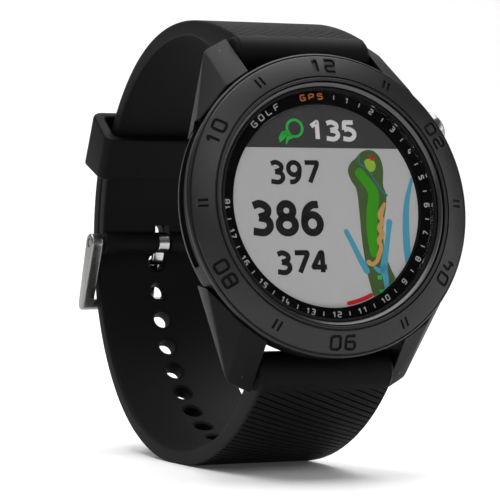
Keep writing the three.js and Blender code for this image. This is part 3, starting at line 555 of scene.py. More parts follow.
# ---------------------------------------------------------------- rings around the glass
# A turned ring of dark grey aluminium slopes from the bezel's lip to the glass, and a black
# rubber gasket holds the glass in it.
def turned_piece(name, profile, material, slot, replaces, body="watch", steps=256):
    """A closed profile turned about the dial's axis, as a finished piece."""
    piece = new_piece(name, *turned(profile, steps), material, body, slot, replaces)
    outward(piece)
    shade(piece)


# Anodised aluminium, lathe-turned: dark grey metal with a tight bright line on each edge.
ring_finish = brushed_ring("dark_anodised_aluminium", "#4c4c4e", 0.3, 0.08, 0.003)
turned_piece("glass_surround", [(17.80, 1.8), (17.80, 0.12), (17.86, 0.04), (18.20, -0.30),
                                (18.28, -0.33), (18.34, -0.27), (18.34, 1.8)],
             ring_finish, "printed_black", ["inner_ring"])
# Black rubber: no shine at all, it reads as a thin black line around the glass.
gasket_rubber = grained("black_gasket_rubber", "#0a0a0a", 0.7, 0.3, 0.004,
                        Specular_IOR_Level=0.2)
turned_piece("glass_gasket", [(17.27, 0.32), (17.30, 0.24), (17.64, 0.24), (17.67, 0.32),
                              (17.67, 1.5), (17.27, 1.5)],
             gasket_rubber, "seal_rubber", ["lens_gasket"])

# ---------------------------------------------------------------- glass
# The cover is a polished disc of hardened glass with a ground edge. What shows is the dial
# behind it and a thin reflection, so lamps reach the dial through it. Real glass bends the
# light and lifts what is behind it, so the glass here is thinner and the dial is raised.
GLASS_RADIUS, GLASS_SEEN_BACK = 17.15, 1.2
glass = bpy.data.materials.new("hardened_cover_glass")
glass.use_nodes = True
glass_tree = glass.node_tree
glass_tree.nodes.remove(glass_tree.nodes["Principled BSDF"])
glass_place = add_node(glass_tree, "ShaderNodeTexCoord").outputs["Object"]
# Finger smears a few centimetres long move the reflection's sharpness a little.
smears = add_node(glass_tree, "ShaderNodeTexNoise",
                  {"Vector": glass_place, "Scale": 35.0, "Detail": 3.0})
smear_gloss = add_node(glass_tree, "ShaderNodeMapRange",
                       {"Value": smears.outputs["Fac"], "To Min": 0.02, "To Max": 0.06})
glass_edge = add_node(glass_tree, "ShaderNodeFresnel", {"IOR": 1.22})
glass_through = add_node(glass_tree, "ShaderNodeBsdfTransparent")
glass_mirror = add_node(glass_tree, "ShaderNodeBsdfGlossy",
                        {"Roughness": smear_gloss.outputs["Result"]})
glass_both = add_node(glass_tree, "ShaderNodeMixShader",
                      {"Fac": glass_edge.outputs["Fac"], 1: glass_through.outputs["BSDF"],
                       2: glass_mirror.outputs["BSDF"]})
glass_tree.links.new(glass_both.outputs["Shader"],
                     glass_tree.nodes["Material Output"].inputs["Surface"])
turned_piece("cover_glass", [(0.0, GLASS_FRONT), (16.9, GLASS_FRONT),
                             (GLASS_RADIUS, GLASS_FRONT + 0.25),
                             (GLASS_RADIUS, GLASS_SEEN_BACK), (0.0, GLASS_SEEN_BACK)],
             glass, "glass", ["lens"])

# ---------------------------------------------------------------- printed dial ring
# A ring of black film under the glass, printed in pale grey with the holes 1 to 18 and a
# tick between each two, and with two generic words.
RING_DEPTH, RING_INNER, RING_OUTER = 1.3, 15.5, 17.15
RING_LABEL_RADIUS = 16.5
INK_THICKNESS = 0.02

# Screen-printed film: near black and smooth.
film_black = grained("black_printed_film", "#030303", 0.5, 0.1, 0.001,
                     Specular_IOR_Level=0.05)
turned_piece("dial_ring", [(RING_INNER, RING_DEPTH), (RING_OUTER, RING_DEPTH),
                           (RING_OUTER, RING_DEPTH + 1.0), (RING_INNER, RING_DEPTH + 1.0)],
             film_black, "printed_black", ["chapter_ring"])


def ring_print(name, labels, ticks, material, width, height, gap, stroke):
    """Prints labels, given as {clock degrees: text}, and ticks on the dial ring."""
    prints = []
    for degrees, text in labels.items():
        tops_in = 97 < degrees < 262
        for points, faces in label_strokes(text, width, height, gap, stroke, 0,
                                           INK_THICKNESS):
            prints.append((around_dial(points, math.radians(degrees), tops_in,
                                       RING_LABEL_RADIUS, RING_DEPTH), faces))
    for degrees in ticks:
        points, faces = stroke_prism([(0, -0.32), (0, 0.32)], 0.14, 0, INK_THICKNESS, False)
        prints.append((around_dial(points, math.radians(degrees), False,
                                   RING_LABEL_RADIUS, RING_DEPTH), faces))
    outward(new_piece(name, *joined(prints), material, slot="printed_black"))


# Matt screen ink.
pale_ink = grained("pale_grey_ink", "#c4c4c4", 0.6, 0.1, 0.001)
orange_ink = grained("orange_ink", "#d2703c", 0.6, 0.1, 0.001)
ring_print("hole_numbers", {15 * n: str(n) for n in range(1, 19)},
           [15 * n + 7.5 for n in range(0, 18)], pale_ink, 0.68, 0.92, 0.22, 0.16)
word_letters = {-43 + 5.4 * n: letter for n, letter in enumerate("GOLF")}
ring_print("ring_word", word_letters, [], pale_ink, 0.92, 1.0, 0.3, 0.18)
signal_letters = {-10.5 + 5.0 * n: letter for n, letter in enumerate("GPS")}
ring_print("ring_signal_word", signal_letters, [], orange_ink, 0.95, 1.0, 0.3, 0.2)

# ---------------------------------------------------------------- display
# A reflective colour liquid crystal panel. What it shows is laid on it as thin flat prints:
# a dark header with a distance, three distances to the green, and a plan of a golf hole.
SCREEN_DEPTH, SCREEN_RADIUS, HEADER_HEIGHT = 2.1, 15.4, 8.78
SCREEN_WALL, PRINT_STEP = 0.7, 0.02
PANEL_GREY, BACKLIGHT = "#a9a9a9", 0.28


def lit_panel(name, color, glow):
    """Flat colour on the panel. The backlight adds a little light of the same colour."""
    material, tree, shader, place = new_material(name, color, 0.5)
    # The cells are 0.12 mm apart, and are drawn twice as coarse, as a faint grain.
    cells = add_node(tree, "ShaderNodeTexNoise",
                     {"Vector": place, "Scale": 1000 / 0.25, "Detail": 2.0})
    shade_range = add_node(tree, "ShaderNodeMapRange",
                           {"Value": cells.outputs["Fac"], "To Min": 0.93, "To Max": 1.05})
    tint = add_node(tree, "ShaderNodeMix",
                    {"Factor": shade_range.outputs["Result"], "A": [0, 0, 0, 1],
                     "B": linear(color)}, data_type="RGBA", clamp_factor=False)
    tree.links.new(tint.outputs["Result"], shader.inputs["Base Color"])
    tree.links.new(tint.outputs["Result"], shader.inputs["Emission Color"])
    shader.inputs["Emission Strength"].default_value = glow
    shader.inputs["Specular IOR Level"].default_value = 0.1
    return material


def smooth_outline(points, steps=8, closed=True):
    """A smooth line through points: each span is the Catmull-Rom cubic of its neighbours."""
    p = np.array(points, float)
    if closed:
        before, after, last = np.roll(p, 1, 0), np.roll(p, -1, 0), np.roll(p, -2, 0)
    else:
        padded = np.vstack([2 * p[0] - p[1], p, 2 * p[-1] - p[-2]])
        before, p, after, last = padded[:-3], padded[1:-2], padded[2:-1], padded[3:]
    u = (np.arange(steps) / steps)[None, :, None]
    b, s, a, n = before[:, None], p[:, None], after[:, None], last[:, None]
    curve = s + 0.5 * u * (a - b) + u ** 2 * (b - 2.5 * s + 2 * a - 0.5 * n) \
        + u ** 3 * (1.5 * (s - a) + 0.5 * (n - b))
    curve = curve.reshape(-1, 2)
    return curve if closed else np.vstack([curve, p[-1:] * 0 + after[-1:]])


def inside_screen(points, limit=SCREEN_RADIUS - 0.05):
    """Pulls points that lie outside the round panel onto its edge, towards the middle."""
    points = np.array(points, float)
    radius = np.linalg.norm(points, axis=1)
    return points * np.minimum(1, limit / np.maximum(radius, 1e-9))[:, None]


def flat_plate(outline, level):
    """A thin plate with a flat outline of (x, height), on the panel at a level."""
    outline = np.asarray(outline, float)
    count = len(outline)
    front = SCREEN_DEPTH - level * PRINT_STEP
    points = np.vstack([np.column_stack([outline[:, 0], np.full(count, depth), outline[:, 1]])
                        for depth in (front, front + 0.8 * PRINT_STEP)])
    return points, prism_faces(count)


def plate_piece(name, plates, material):
    """Several plates as one piece that rides on the watch."""
    outward(new_piece(name, *joined(plates), material, slot="liquid_crystal"))


def band(path, widths, level, steps=8):
    """A plate along a smooth path whose width changes from point to point."""
    path = np.array(path, float)
    line = smooth_outline(path, steps, False)
    share = np.linspace(0, 1, len(line))
    half = np.interp(share, np.linspace(0, 1, len(widths)), widths) / 2
    way = np.gradient(line, axis=0)
    way /= np.linalg.norm(way, axis=1)[:, None]
    side = np.stack([-way[:, 1], way[:, 0]], -1) * half[:, None]
    cap = np.linspace(0, math.pi, 7)[1:-1, None]
    end_cap = line[-1] + np.cos(cap) * side[-1] + np.sin(cap) * way[-1] * half[-1]
    start_cap = line[0] - np.cos(cap) * side[0] - np.sin(cap) * way[0] * half[0]
    outline = np.vstack([line + side, end_cap, (line - side)[::-1], start_cap])
    return flat_plate(inside_screen(outline), level)


turned_piece("screen_panel", [(0.0, SCREEN_DEPTH), (SCREEN_RADIUS, SCREEN_DEPTH),
                              (SCREEN_RADIUS, SCREEN_DEPTH + SCREEN_WALL),
                              (0.0, SCREEN_DEPTH + SCREEN_WALL)],
             lit_panel("pale_grey_liquid_crystal", PANEL_GREY, BACKLIGHT),
             "liquid_crystal", ["display_panel"])

header_turn = math.acos(HEADER_HEIGHT / (SCREEN_RADIUS - 0.02))
header_edge = np.linspace(-header_turn, header_turn, 61)
header_outline = (SCREEN_RADIUS - 0.02) * np.column_stack([np.sin(header_edge),
                                                           np.cos(header_edge)])
plate_piece("screen_header", [flat_plate(header_outline, 1)],
            lit_panel("dark_grey_liquid_crystal", "#3a3a3a", BACKLIGHT))


def oval(x, y, half_width, half_height, steps=36):
    """Points around an ellipse."""
    turn = np.linspace(0, 2 * math.pi, steps, endpoint=False)
    return np.column_stack([x + half_width * np.cos(turn), y + half_height * np.sin(turn)])


# Each numeral of the screen is bold strokes in a cell 1 wide and 1 high: a curve through
# points, straight lines between them, or a closed oval.
SCREEN_NUMERALS = {
    "1": [("lines", [(0.12, 0.74), (0.62, 1.0), (0.62, 0.0)])],
    "3": [("curve", [(0.06, 0.93), (0.45, 1.0), (0.84, 0.86), (0.82, 0.64), (0.36, 0.525)]),
          ("curve", [(0.36, 0.525), (0.84, 0.44), (0.95, 0.2), (0.62, 0.01), (0.0, 0.05)])],
    "4": [("lines", [(0.74, 0.0), (0.74, 1.0), (0.62, 1.0), (0.0, 0.27), (1.06, 0.27)])],
    "5": [("lines", [(0.9, 1.0), (0.17, 1.0), (0.13, 0.56)]),
          ("curve", [(0.13, 0.56), (0.5, 0.61), (0.9, 0.46), (0.94, 0.2), (0.6, 0.01),
                     (0.02, 0.05)])],
    "6": [("curve", [(0.9, 0.98), (0.5, 0.95), (0.18, 0.74), (0.05, 0.36)]),
          ("oval", (0.51, 0.31, 0.45, 0.31))],
    "7": [("lines", [(0.0, 1.0), (0.98, 1.0), (0.98, 0.9), (0.34, 0.0)])],
    "8": [("oval", (0.5, 0.765, 0.37, 0.235)), ("oval", (0.5, 0.265, 0.46, 0.265))],
    "9": [("curve", [(0.1, 0.02), (0.5, 0.05), (0.82, 0.26), (0.95, 0.64)]),
          ("oval", (0.49, 0.69, 0.45, 0.31))],
}


def screen_stroke(path, width, closed):
    """A stroke along a path of (x, height), on the panel above its first layer of prints."""
    points, faces = stroke_prism(path, width, 1.1 * PRINT_STEP, 2 * PRINT_STEP, closed)
    return np.column_stack([points[:, 0], SCREEN_DEPTH - points[:, 2], points[:, 1]]), faces


def numerals(text, left, right, low, high, boldness):
    """Bold numerals that fill a box in mm, with strokes a share of its height wide."""
    stroke = boldness * (high - low)
    advance = (right - left + GAP_SHARE * (high - low)) / len(text)
    width = advance - GAP_SHARE * (high - low)
    prints = []
    for n, sign in enumerate(text):
        corner = np.array([left + n * advance + stroke / 2, low + stroke / 2])
        size = np.array([width - stroke, high - low - stroke])
        for kind, given in SCREEN_NUMERALS[sign]:
            if kind == "oval":
                path = oval(*given)
            elif kind == "curve":
                path = smooth_outline(given, 8, False)
            else:
                path = rounded(given, 0.06, False)
            prints.append(screen_stroke(corner + size * path, stroke, kind == "oval"))
    return prints


GAP_SHARE, BOLD, LIGHTER = 0.015, 0.21, 0.195
plate_piece("distances", numerals("397", -9.15, -0.7, 3.15, 6.9, LIGHTER)
            + numerals("386", -12.8, -0.55, -4.65, 0.85, BOLD)
            + numerals("374", -9.15, -0.4, -10.45, -6.7, BOLD),
            lit_panel("black_liquid_crystal", "#1c1c1c", BACKLIGHT))
plate_piece("header_distance", numerals("135", -2.2, 5.95, 9.8, 13.1, BOLD),
            lit_panel("light_liquid_crystal", "#c6c6c6", BACKLIGHT))

green_glow = lit_panel("bright_green_liquid_crystal", "#35b34a", 0.1)
ball_turn = np.linspace(0, 2 * math.pi, 20, endpoint=False)
ball_path = 1.28 * np.column_stack([np.sin(ball_turn), np.cos(ball_turn)]) + (-4.35, 11.75)
plate_piece("ball_icon", [screen_stroke(ball_path, 0.4, True),
                          band([(-5.5, 11.1), (-6.3, 10.9), (-7.0, 10.2)], [0.7, 0.6, 0.2], 2),
                          band([(-5.0, 10.5), (-5.6, 10.1), (-5.9, 9.3)], [0.7, 0.5, 0.15], 2),
                          band([(-6.0, 10.8), (-6.6, 10.1), (-6.9, 9.7)], [0.8, 0.6, 0.2], 2)],
            green_glow)

rough_outline = smooth_outline([
    (6.3, 8.1), (7.4, 8.55), (8.6, 8.4), (9.6, 7.3), (9.95, 5.5), (9.75, 3.2), (10.15, 1.7),
    (9.9, -0.3), (9.35, -2.6), (9.1, -5.0), (9.2, -7.2), (9.9, -9.4), (10.6, -11.3),
    (9.6, -12.8), (8.2, -13.5), (6.8, -13.8), (6.3, -12.0), (5.9, -9.8), (5.5, -5.4),
    (5.4, -1.0), (5.2, 2.4), (4.4, 3.9), (4.0, 5.4), (4.6, 6.6), (5.5, 7.3)])
plate_piece("hole_rough", [flat_plate(inside_screen(rough_outline), 1)],
            lit_panel("olive_liquid_crystal", "#425531", BACKLIGHT))
fairway_outline = smooth_outline([
    (5.2, 5.0), (5.6, 5.7), (6.3, 5.7), (7.3, 4.5), (8.5, 3.0), (8.9, 1.5), (8.5, -0.9),
    (8.15, -3.9), (7.95, -7.2), (7.3, -7.8), (6.7, -7.2), (6.4, -3.9), (6.6, -0.9),
    (7.1, 1.7), (6.4, 3.2), (5.55, 4.2)])
plate_piece("hole_fairway", [flat_plate(fairway_outline, 2)],
            lit_panel("green_liquid_crystal", "#3f9c20", 0.05))
bunker_line = np.array([(9.7, 0.3), (9.2, -0.6), (8.85, -1.5), (9.1, -2.4), (8.6, -3.3),
                        (8.9, -4.3), (8.35, -5.3), (8.6, -6.3), (8.2, -7.4), (7.7, -8.4),
                        (6.9, -8.9), (6.3, -8.6)])
plate_piece("hole_bunker", [band(bunker_line, [0.5, 0.95, 0.75, 0.95, 0.7, 0.75, 0.6, 0.8], 3)],
            lit_panel("sand_liquid_crystal", "#b18a55", BACKLIGHT))
plate_piece("hole_water", [
    band([(2.95, -3.9), (3.9, -5.8), (4.9, -8.0), (5.9, -9.9)], [0.8, 0.85, 0.95, 1.0], 2),
    band([(10.3, -2.5), (9.95, -4.3), (9.4, -6.8), (8.8, -9.4), (9.0, -11.2), (9.0, -12.6)],
         [1.0, 0.8, 0.9, 1.2, 0.9, 0.7], 2),
    band([(8.9, -9.4), (8.1, -9.9), (7.3, -9.4)], [0.9, 0.8, 0.5], 2),
    band([(14.7, 4.2), (13.6, 0.8), (13.1, -2.6), (12.95, -6.4), (13.0, -9.2)],
         [0.5, 0.9, 1.1, 1.2, 0.9], 2)],
    lit_panel("blue_liquid_crystal", "#478ba3", BACKLIGHT))
plate_piece("hole_stream", [
    band([(6.1, 7.6), (6.0, 6.5), (7.3, 5.6), (8.4, 3.9), (9.2, 2.6), (10.2, 1.6)],
         [0.3, 0.28, 0.25, 0.25, 0.35], 3)],
    lit_panel("teal_liquid_crystal", "#2f6a6c", BACKLIGHT))
green_outline = smooth_outline([(6.85, 6.8), (7.5, 7.2), (8.4, 6.9), (8.7, 6.2), (8.4, 5.4),
                                (7.7, 5.2), (7.1, 5.9)])
plate_piece("hole_green", [flat_plate(green_outline, 4)],
            lit_panel("lime_liquid_crystal", "#83a63a", BACKLIGHT))
tee_boxes = [flat_plate([(x - 0.35, z - 0.3), (x + 0.35, z - 0.3), (x + 0.35, z + 0.3),
                         (x - 0.35, z + 0.3)], 3) for x, z in ((7.95, -10.9), (8.1, -13.0))]
plate_piece("hole_tees", tee_boxes, green_glow)
scale_turn = np.radians(np.linspace(170.5, 155.0, 12))
scale_path = 14.95 * np.column_stack([np.sin(scale_turn), np.cos(scale_turn)])
plate_piece("hole_flag_and_scale", [
    flat_plate([(7.6, 7.75), (8.75, 7.35), (8.2, 6.85), (7.9, 7.0)], 5),
    band(scale_path, [0.62, 0.62], 2, 2)],
    lit_panel("red_liquid_crystal", "#b32020", BACKLIGHT))

# ---------------------------------------------------------------- button
# One push button at the upper right, turned from stainless steel with a softened rim.
BUTTON_TOP, BUTTON_FOOT = 25.5, 22.2
# Polished stainless steel: it mirrors the pale room, so its own colour is a mid grey.
button_steel = grained("polished_stainless_steel", "#8d8c8a", 0.2, 0.15, 0.002,
                       metallic=1.0, rough_range=0.05)


def turned_about(foot, way, profile, steps=96):
    """A profile of (radius, distance along) turned about any axis from a foot."""
    profile = np.array(profile, float)
    way = np.array(way, float) / np.linalg.norm(way)
    side = np.cross(way, [0.0, 1.0, 0.0] if abs(way[1]) < 0.9 else [1.0, 0.0, 0.0])
    side /= np.linalg.norm(side)
    other = np.cross(way, side)
    turn = 0.03 + np.linspace(0, 2 * math.pi, steps, endpoint=False)[:, None, None]
    spoke = np.cos(turn) * side + np.sin(turn) * other
    points = np.array(foot) + profile[None, :, :1] * spoke + profile[None, :, 1:] * way
    return points, grid_faces(steps, len(profile), True, profile[0, 0] > 0)


cap_points, cap_faces = turned_about(button_foot, button_way, [
    (0.0, BUTTON_FOOT + 1.6), (1.0, BUTTON_FOOT + 1.6), (1.0, BUTTON_FOOT),
    (BUTTON_RADIUS, BUTTON_FOOT), (BUTTON_RADIUS, BUTTON_TOP - 0.55),
    (BUTTON_RADIUS - 0.06, BUTTON_TOP - 0.4), (BUTTON_RADIUS - 0.5, BUTTON_TOP - 0.04),
    (BUTTON_RADIUS - 0.62, BUTTON_TOP), (0.0, BUTTON_TOP)])
button = new_piece("push_button", cap_points, cap_faces, button_steel, "button",
                   "polished_steel", ["button_cap"])
outward(button)
shade(button)

# ---------------------------------------------------------------- strap halves
# Two halves of black silicone rubber, compression moulded. Each starts as a rolled end
# around the lug's pin, thins out along the wrist, and has fine slanting grooves outside.
STRAP_HALF, STRAP_EDGE = 10.8, 0.4
WRIST_CENTRE, WRIST_RADIUS = np.array([36.8, 0.2]), 30.9
BUCKLE_STRAP_WALL, LONG_STRAP_WALL, LUG_WALL = 2.4, 2.5, 4.4
LONG_STRAP_INNER = WRIST_RADIUS + BUCKLE_STRAP_WALL + 0.3
BUCKLE_ANGLE, BUCKLE_PIN_RADIUS_OUT, BUCKLE_BARREL = 9.2, 31.4, 1.9
TIP_ANGLE, TIP_CORNER, TONGUE_HOLE_ANGLE = 41.0, 8.0, 3.5
HOLE_RADIUS, HOLE_PITCH, HOLE_FLARE = 1.45, 5.5, 0.35
GROOVE_PITCH, GROOVE_DEPTH, GROOVE_SLANT = 1.25, 0.26, 0.5
TONGUE_NOTCH, BUCKLE_BORE = 1.3, 0.85
HOLES_TO_LUG, HOLES_TO_TIP = 8, 2


def around_wrist(radius, degrees):
    """(depth, height) at a radius and angle about the wrist, 0 being behind the watch."""
    turn = np.radians(degrees)
    return WRIST_CENTRE + np.stack([radius * np.cos(turn), radius * np.sin(turn)], -1)


def strap_line(up, heading, out_lug, out_wrist, join_angle, end_angle, radius):
    """A strap half's outer line, evenly sampled: a cubic off the lug, then a wrist arc."""
    turn = math.radians(heading)
    ahead = np.array([math.cos(turn), up * math.sin(turn)])
    outwards = up * np.array([-ahead[1], ahead[0]])
    pin = np.array([LUG_PIN_DEPTH, up * LUG_PIN_HEIGHT])
    start = pin + STRAP_BARREL * outwards
    meet = around_wrist(radius, up * join_angle)
    turn = math.radians(up * join_angle)
    along = up * np.array([math.sin(turn), -math.cos(turn)])
    first, second = start + out_lug * ahead, meet - out_wrist * along
    u = np.linspace(0, 1, 400)[:, None]
    curve = (1 - u) ** 3 * start + 3 * u * (1 - u) ** 2 * first \
        + 3 * u * u * (1 - u) * second + u ** 3 * meet
    arc = around_wrist(radius, np.linspace(up * join_angle, end_angle, 400)[1:])
    line = np.vstack([curve, arc])
    gone = np.concatenate([[0], np.cumsum(np.linalg.norm(np.diff(line, axis=0), axis=1))])
    way = np.gradient(line, gone, axis=0)
    way /= np.linalg.norm(way, axis=1)[:, None]
    return {"line": line, "gone": gone, "out": up * np.stack([-way[:, 1], way[:, 0]], -1),
            "length": gone[-1], "pin": pin, "ahead": ahead, "outwards": outwards, "up": up}


def on_strap(strap, distance):
    """(depth, height) of the outer line and its outward direction at some distances."""
    at = np.stack([np.interp(distance, strap["gone"], strap["line"][:, k])
                   for k in (0, 1)], -1)
    out = np.stack([np.interp(distance, strap["gone"], strap["out"][:, k])
                    for k in (0, 1)], -1)
    return at, out


def strap_body(strap, wall, tip_corner):
    """The moulded band: rows cross it on a slant, so that the grooves follow the rows.

    A row at u meets each column at the distance u less the column's slant, held between the
    strap's ends. The wall goes from thick to thin as 3t^2 - 2t^3, and the outer face drops
    by the groove's depth at the groove's share of each pitch.
    """
    corner = np.linspace(0, math.pi / 2, 6)
    flat = np.linspace(-1, 1, 13) * (STRAP_HALF - STRAP_EDGE)
    round_x = STRAP_HALF - STRAP_EDGE * (1 - np.sin(corner))
    round_in = (1 - np.cos(corner)) * 2 * STRAP_EDGE / wall
    x = np.concatenate([flat, round_x[1:], round_x[::-1][:-1], flat[::-1],
                        -round_x[1:], -round_x[::-1][:-1]])
    level = np.concatenate([0 * flat, round_in[1:] * 0.5, (1 - 0.5 * round_in[::-1])[:-1],
                            1 + 0 * flat, (1 - 0.5 * round_in[1:]), 0.5 * round_in[::-1][:-1]])
    groove_room = np.concatenate([np.ones(len(flat)), 0.5 * np.ones(1),
                                  np.zeros(len(x) - len(flat) - 2), 0.5 * np.ones(1)])
    reach = STRAP_HALF * GROOVE_SLANT
    pitches = int((strap["length"] + 2 * reach) / GROOVE_PITCH) + 1
    shares = np.array([0.0, 0.38, 0.75, 0.80, 0.95])
    u = ((np.arange(pitches)[:, None] + shares) * GROOVE_PITCH).ravel() - reach
    deep = np.tile(np.array([0, 0, 0, 1.0, 1.0]), pitches)
    end = np.full(len(x), strap["length"])
    if tip_corner:
        past = np.clip(np.abs(x) - (STRAP_HALF - tip_corner), 0, tip_corner)
        end = end - (tip_corner - np.sqrt(tip_corner ** 2 - past ** 2))
    slant = strap["up"] * x * GROOVE_SLANT
    distance = np.clip(u[:, None] - slant[None, :], 0, end[None, :])
    at, out = on_strap(strap, distance)
    t = np.clip((distance - 3) / 17, 0, 1)
    thick = LUG_WALL + (wall - LUG_WALL) * t * t * (3 - 2 * t)
    fade = np.clip((end[None, :] - distance) / 1.5, 0, 1) * np.clip((distance - 0.6) / 1.2, 0, 1)
    inward = level * thick + GROOVE_DEPTH * deep[:, None] * groove_room * fade
    place = at - inward[..., None] * out
    points = np.stack([np.broadcast_to(x, distance.shape), place[..., 0], place[..., 1]], -1)
    rows, columns = distance.shape
    faces = grid_faces(rows, columns, False, True)
    faces += [list(range(columns)), list(range((rows - 1) * columns, rows * columns))]
    return points, faces


def strap_box(strap, first, second, half):
    """A box on the strap end's own axes: (along, outward) from the pin, across the watch."""
    (a0, o0), (a1, o1) = first, second
    corners = [strap["pin"] + a * strap["ahead"] + o * strap["outwards"]
               for a, o in ((a0, o0), (a1, o0), (a1, o1), (a0, o1))]
    points = [(x, *corner) for x in (-half, half) for corner in corners]
    faces = [[0, 1, 2, 3], [4, 5, 6, 7], [0, 1, 5, 4], [1, 2, 6, 5], [2, 3, 7, 6], [3, 0, 4, 7]]
    return points, faces


def across_prism(outline, x0, x1):
    """A flat (depth, height) outline carried across the watch from x0 to x1."""
    count = len(outline)
    points = np.vstack([np.column_stack([np.full(count, x), outline]) for x in (x0, x1)])
    return points, prism_faces(count)


def cutter_piece(points, faces):
    """A closed body that rides on nothing, for cutting a strap half."""
    tool = new_piece("cutter", points, faces, silicone, body=None)
    outward(tool)
    return tool


def cross_rod(at, radius, half, material, edge=0.0, steps=48):
    """A round bar across the watch, centred on (depth, height), with softened ends."""
    profile = [(0.0, -half), (radius - edge, -half), (radius, -half + edge),
               (radius, half - edge), (radius - edge, half), (0.0, half)]
    points, faces = turned_about((0.0, at[0], at[1]), (1.0, 0.0, 0.0), profile, steps)
    rod_piece = new_piece("bar", points, faces, material, body=None)
    outward(rod_piece)
    return rod_piece


def slot_cutter(strap, radius, deep, half, steps=24):
    """A slot with a round top over the pin, open on the wrist side, across the watch."""
    turn = np.linspace(0, math.pi, steps)
    local = np.vstack([[radius, deep], np.column_stack([radius * np.cos(turn),
                                                        radius * np.sin(turn)]),
                       [-radius, deep]])
    outline = strap["pin"] + local[:, :1] * strap["ahead"] + local[:, 1:] * strap["outwards"]
    return cutter_piece(*across_prism(outline, -half, half))


def end_room(strap):
    """The room on the wrist side of the rolled end for the hook and its sliding latch."""
    deep = -STRAP_BARREL - 1
    return [slot_cutter(strap, 1.05, deep, 12), slot_cutter(strap, 2.22, deep - 0.1, 8.75),
            cutter_piece(*strap_box(strap, (0.07, deep - 0.2), (7.4, -0.33), 6.0))]


def rested(piece):
    """Flattens what would sink below the table."""
    flat = np.empty(3 * len(piece.data.vertices))
    piece.data.vertices.foreach_get("co", flat)
    flat[2::3] = np.maximum(flat[2::3], 0)
    piece.data.vertices.foreach_set("co", flat)


def strap_half(name, strap, wall, tip_corner, extra_ends, cutters, node):
    """A finished strap half: its band joined to its round ends, less the rooms and holes."""
    points, faces = strap_body(strap, wall, tip_corner)
    piece = new_piece(name, points, faces, silicone)
    outward(piece)
    rested(piece)
    barrel = cross_rod(strap["pin"], STRAP_BARREL, 11.0, silicone, 0.5, 64)
    combined(piece, [barrel] + extra_ends, "UNION")
    combined(piece, end_room(strap) + cutters, "DIFFERENCE")
    outward(piece)
    shade(piece, 40)
    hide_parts(node)


# Silicone rubber from a satin mould: near black, a broad soft sheen, no highlights.
silicone = grained("black_silicone_rubber", "#0a0a0b", 0.6, 0.15, 0.006,
                   Specular_IOR_Level=0.09)
long_line = strap_line(-1, 38.0, 24.0, 28.5, 20.0, TIP_ANGLE,
                       LONG_STRAP_INNER + LONG_STRAP_WALL)
buckle_line = strap_line(1, 28.6, 23.0, 17.4, 50.0, BUCKLE_ANGLE,
                         WRIST_RADIUS + BUCKLE_STRAP_WALL)
hole_profile = [(0.0, 1.4), (HOLE_RADIUS + HOLE_FLARE + 1.2, 1.4),
                (HOLE_RADIUS + HOLE_FLARE - 0.2, 0.0), (HOLE_RADIUS - 0.17, -0.22),
                (HOLE_RADIUS - 0.2, -0.4), (HOLE_RADIUS, -LONG_STRAP_WALL + 0.4),
                (HOLE_RADIUS + 0.03, -LONG_STRAP_WALL + 0.22),
                (HOLE_RADIUS + HOLE_FLARE, -LONG_STRAP_WALL),
                (HOLE_RADIUS + HOLE_FLARE + 1.4, -LONG_STRAP_WALL - 1.4),
                (0.0, -LONG_STRAP_WALL - 1.4)]
tongue_hole = long_line["length"] - math.radians(TIP_ANGLE - TONGUE_HOLE_ANGLE) \
    * (LONG_STRAP_INNER + LONG_STRAP_WALL)
hole_cutters = []
for hole in range(-HOLES_TO_LUG, HOLES_TO_TIP + 1):
    hole_at, hole_out = on_strap(long_line, tongue_hole + hole * HOLE_PITCH)
    hole_cutters.append(cutter_piece(*turned_about(
        (0.0, *hole_at), (0.0, *hole_out), hole_profile, 40)))
strap_half("long_strap", long_line, LONG_STRAP_WALL, TIP_CORNER, [], hole_cutters, "strap_6")
pin_at = around_wrist(BUCKLE_PIN_RADIUS_OUT, BUCKLE_ANGLE)
notch_corners = [around_wrist(radius, degrees) for radius, degrees in (
    (WRIST_RADIUS - 3, BUCKLE_ANGLE + 5.5), (WRIST_RADIUS - 3, BUCKLE_ANGLE - 8),
    (LONG_STRAP_INNER + 0.2, BUCKLE_ANGLE - 8), (LONG_STRAP_INNER + 0.2, BUCKLE_ANGLE + 5.5))]
notch_points = [(x, *corner) for x in (-TONGUE_NOTCH, TONGUE_NOTCH) for corner in notch_corners]
notch = cutter_piece(notch_points, strap_box(buckle_line, (0, 0), (1, 1), 1)[1])
strap_half("buckle_strap", buckle_line, BUCKLE_STRAP_WALL, 0.0,
           [cross_rod(pin_at, BUCKLE_BARREL, STRAP_HALF, silicone, 0.3)],
           [notch, cross_rod(pin_at, BUCKLE_BORE, 12, silicone)], "strap_12")

# ---------------------------------------------------------------- keeper
# A moulded silicone loop that holds the strap's free end against the buckle strap.
KEEPER_ANGLE, KEEPER_LENGTH, KEEPER_WALL, KEEPER_SIDE = 38.0, 8.6, 1.5, 1.9
KEEPER_LOW, KEEPER_HIGH, KEEPER_HALF = 30.6, 36.4, 11.1


def rounded_box_path(half_x, low, high, corner_radius, steps=8):
    """(x, radius) around a rectangle with quarter-round corners, the same count each time."""
    middles = [(half_x - corner_radius, high - corner_radius, 0),
               (-half_x + corner_radius, high - corner_radius, 1),
               (-half_x + corner_radius, low + corner_radius, 2),
               (half_x - corner_radius, low + corner_radius, 3)]
    path = []
    for x, radius, quarter in middles:
        turn = (quarter + np.linspace(0, 1, steps)) * math.pi / 2
        path.append(np.column_stack([x + corner_radius * np.cos(turn),
                                     radius + corner_radius * np.sin(turn)]))
    return np.concatenate(path)


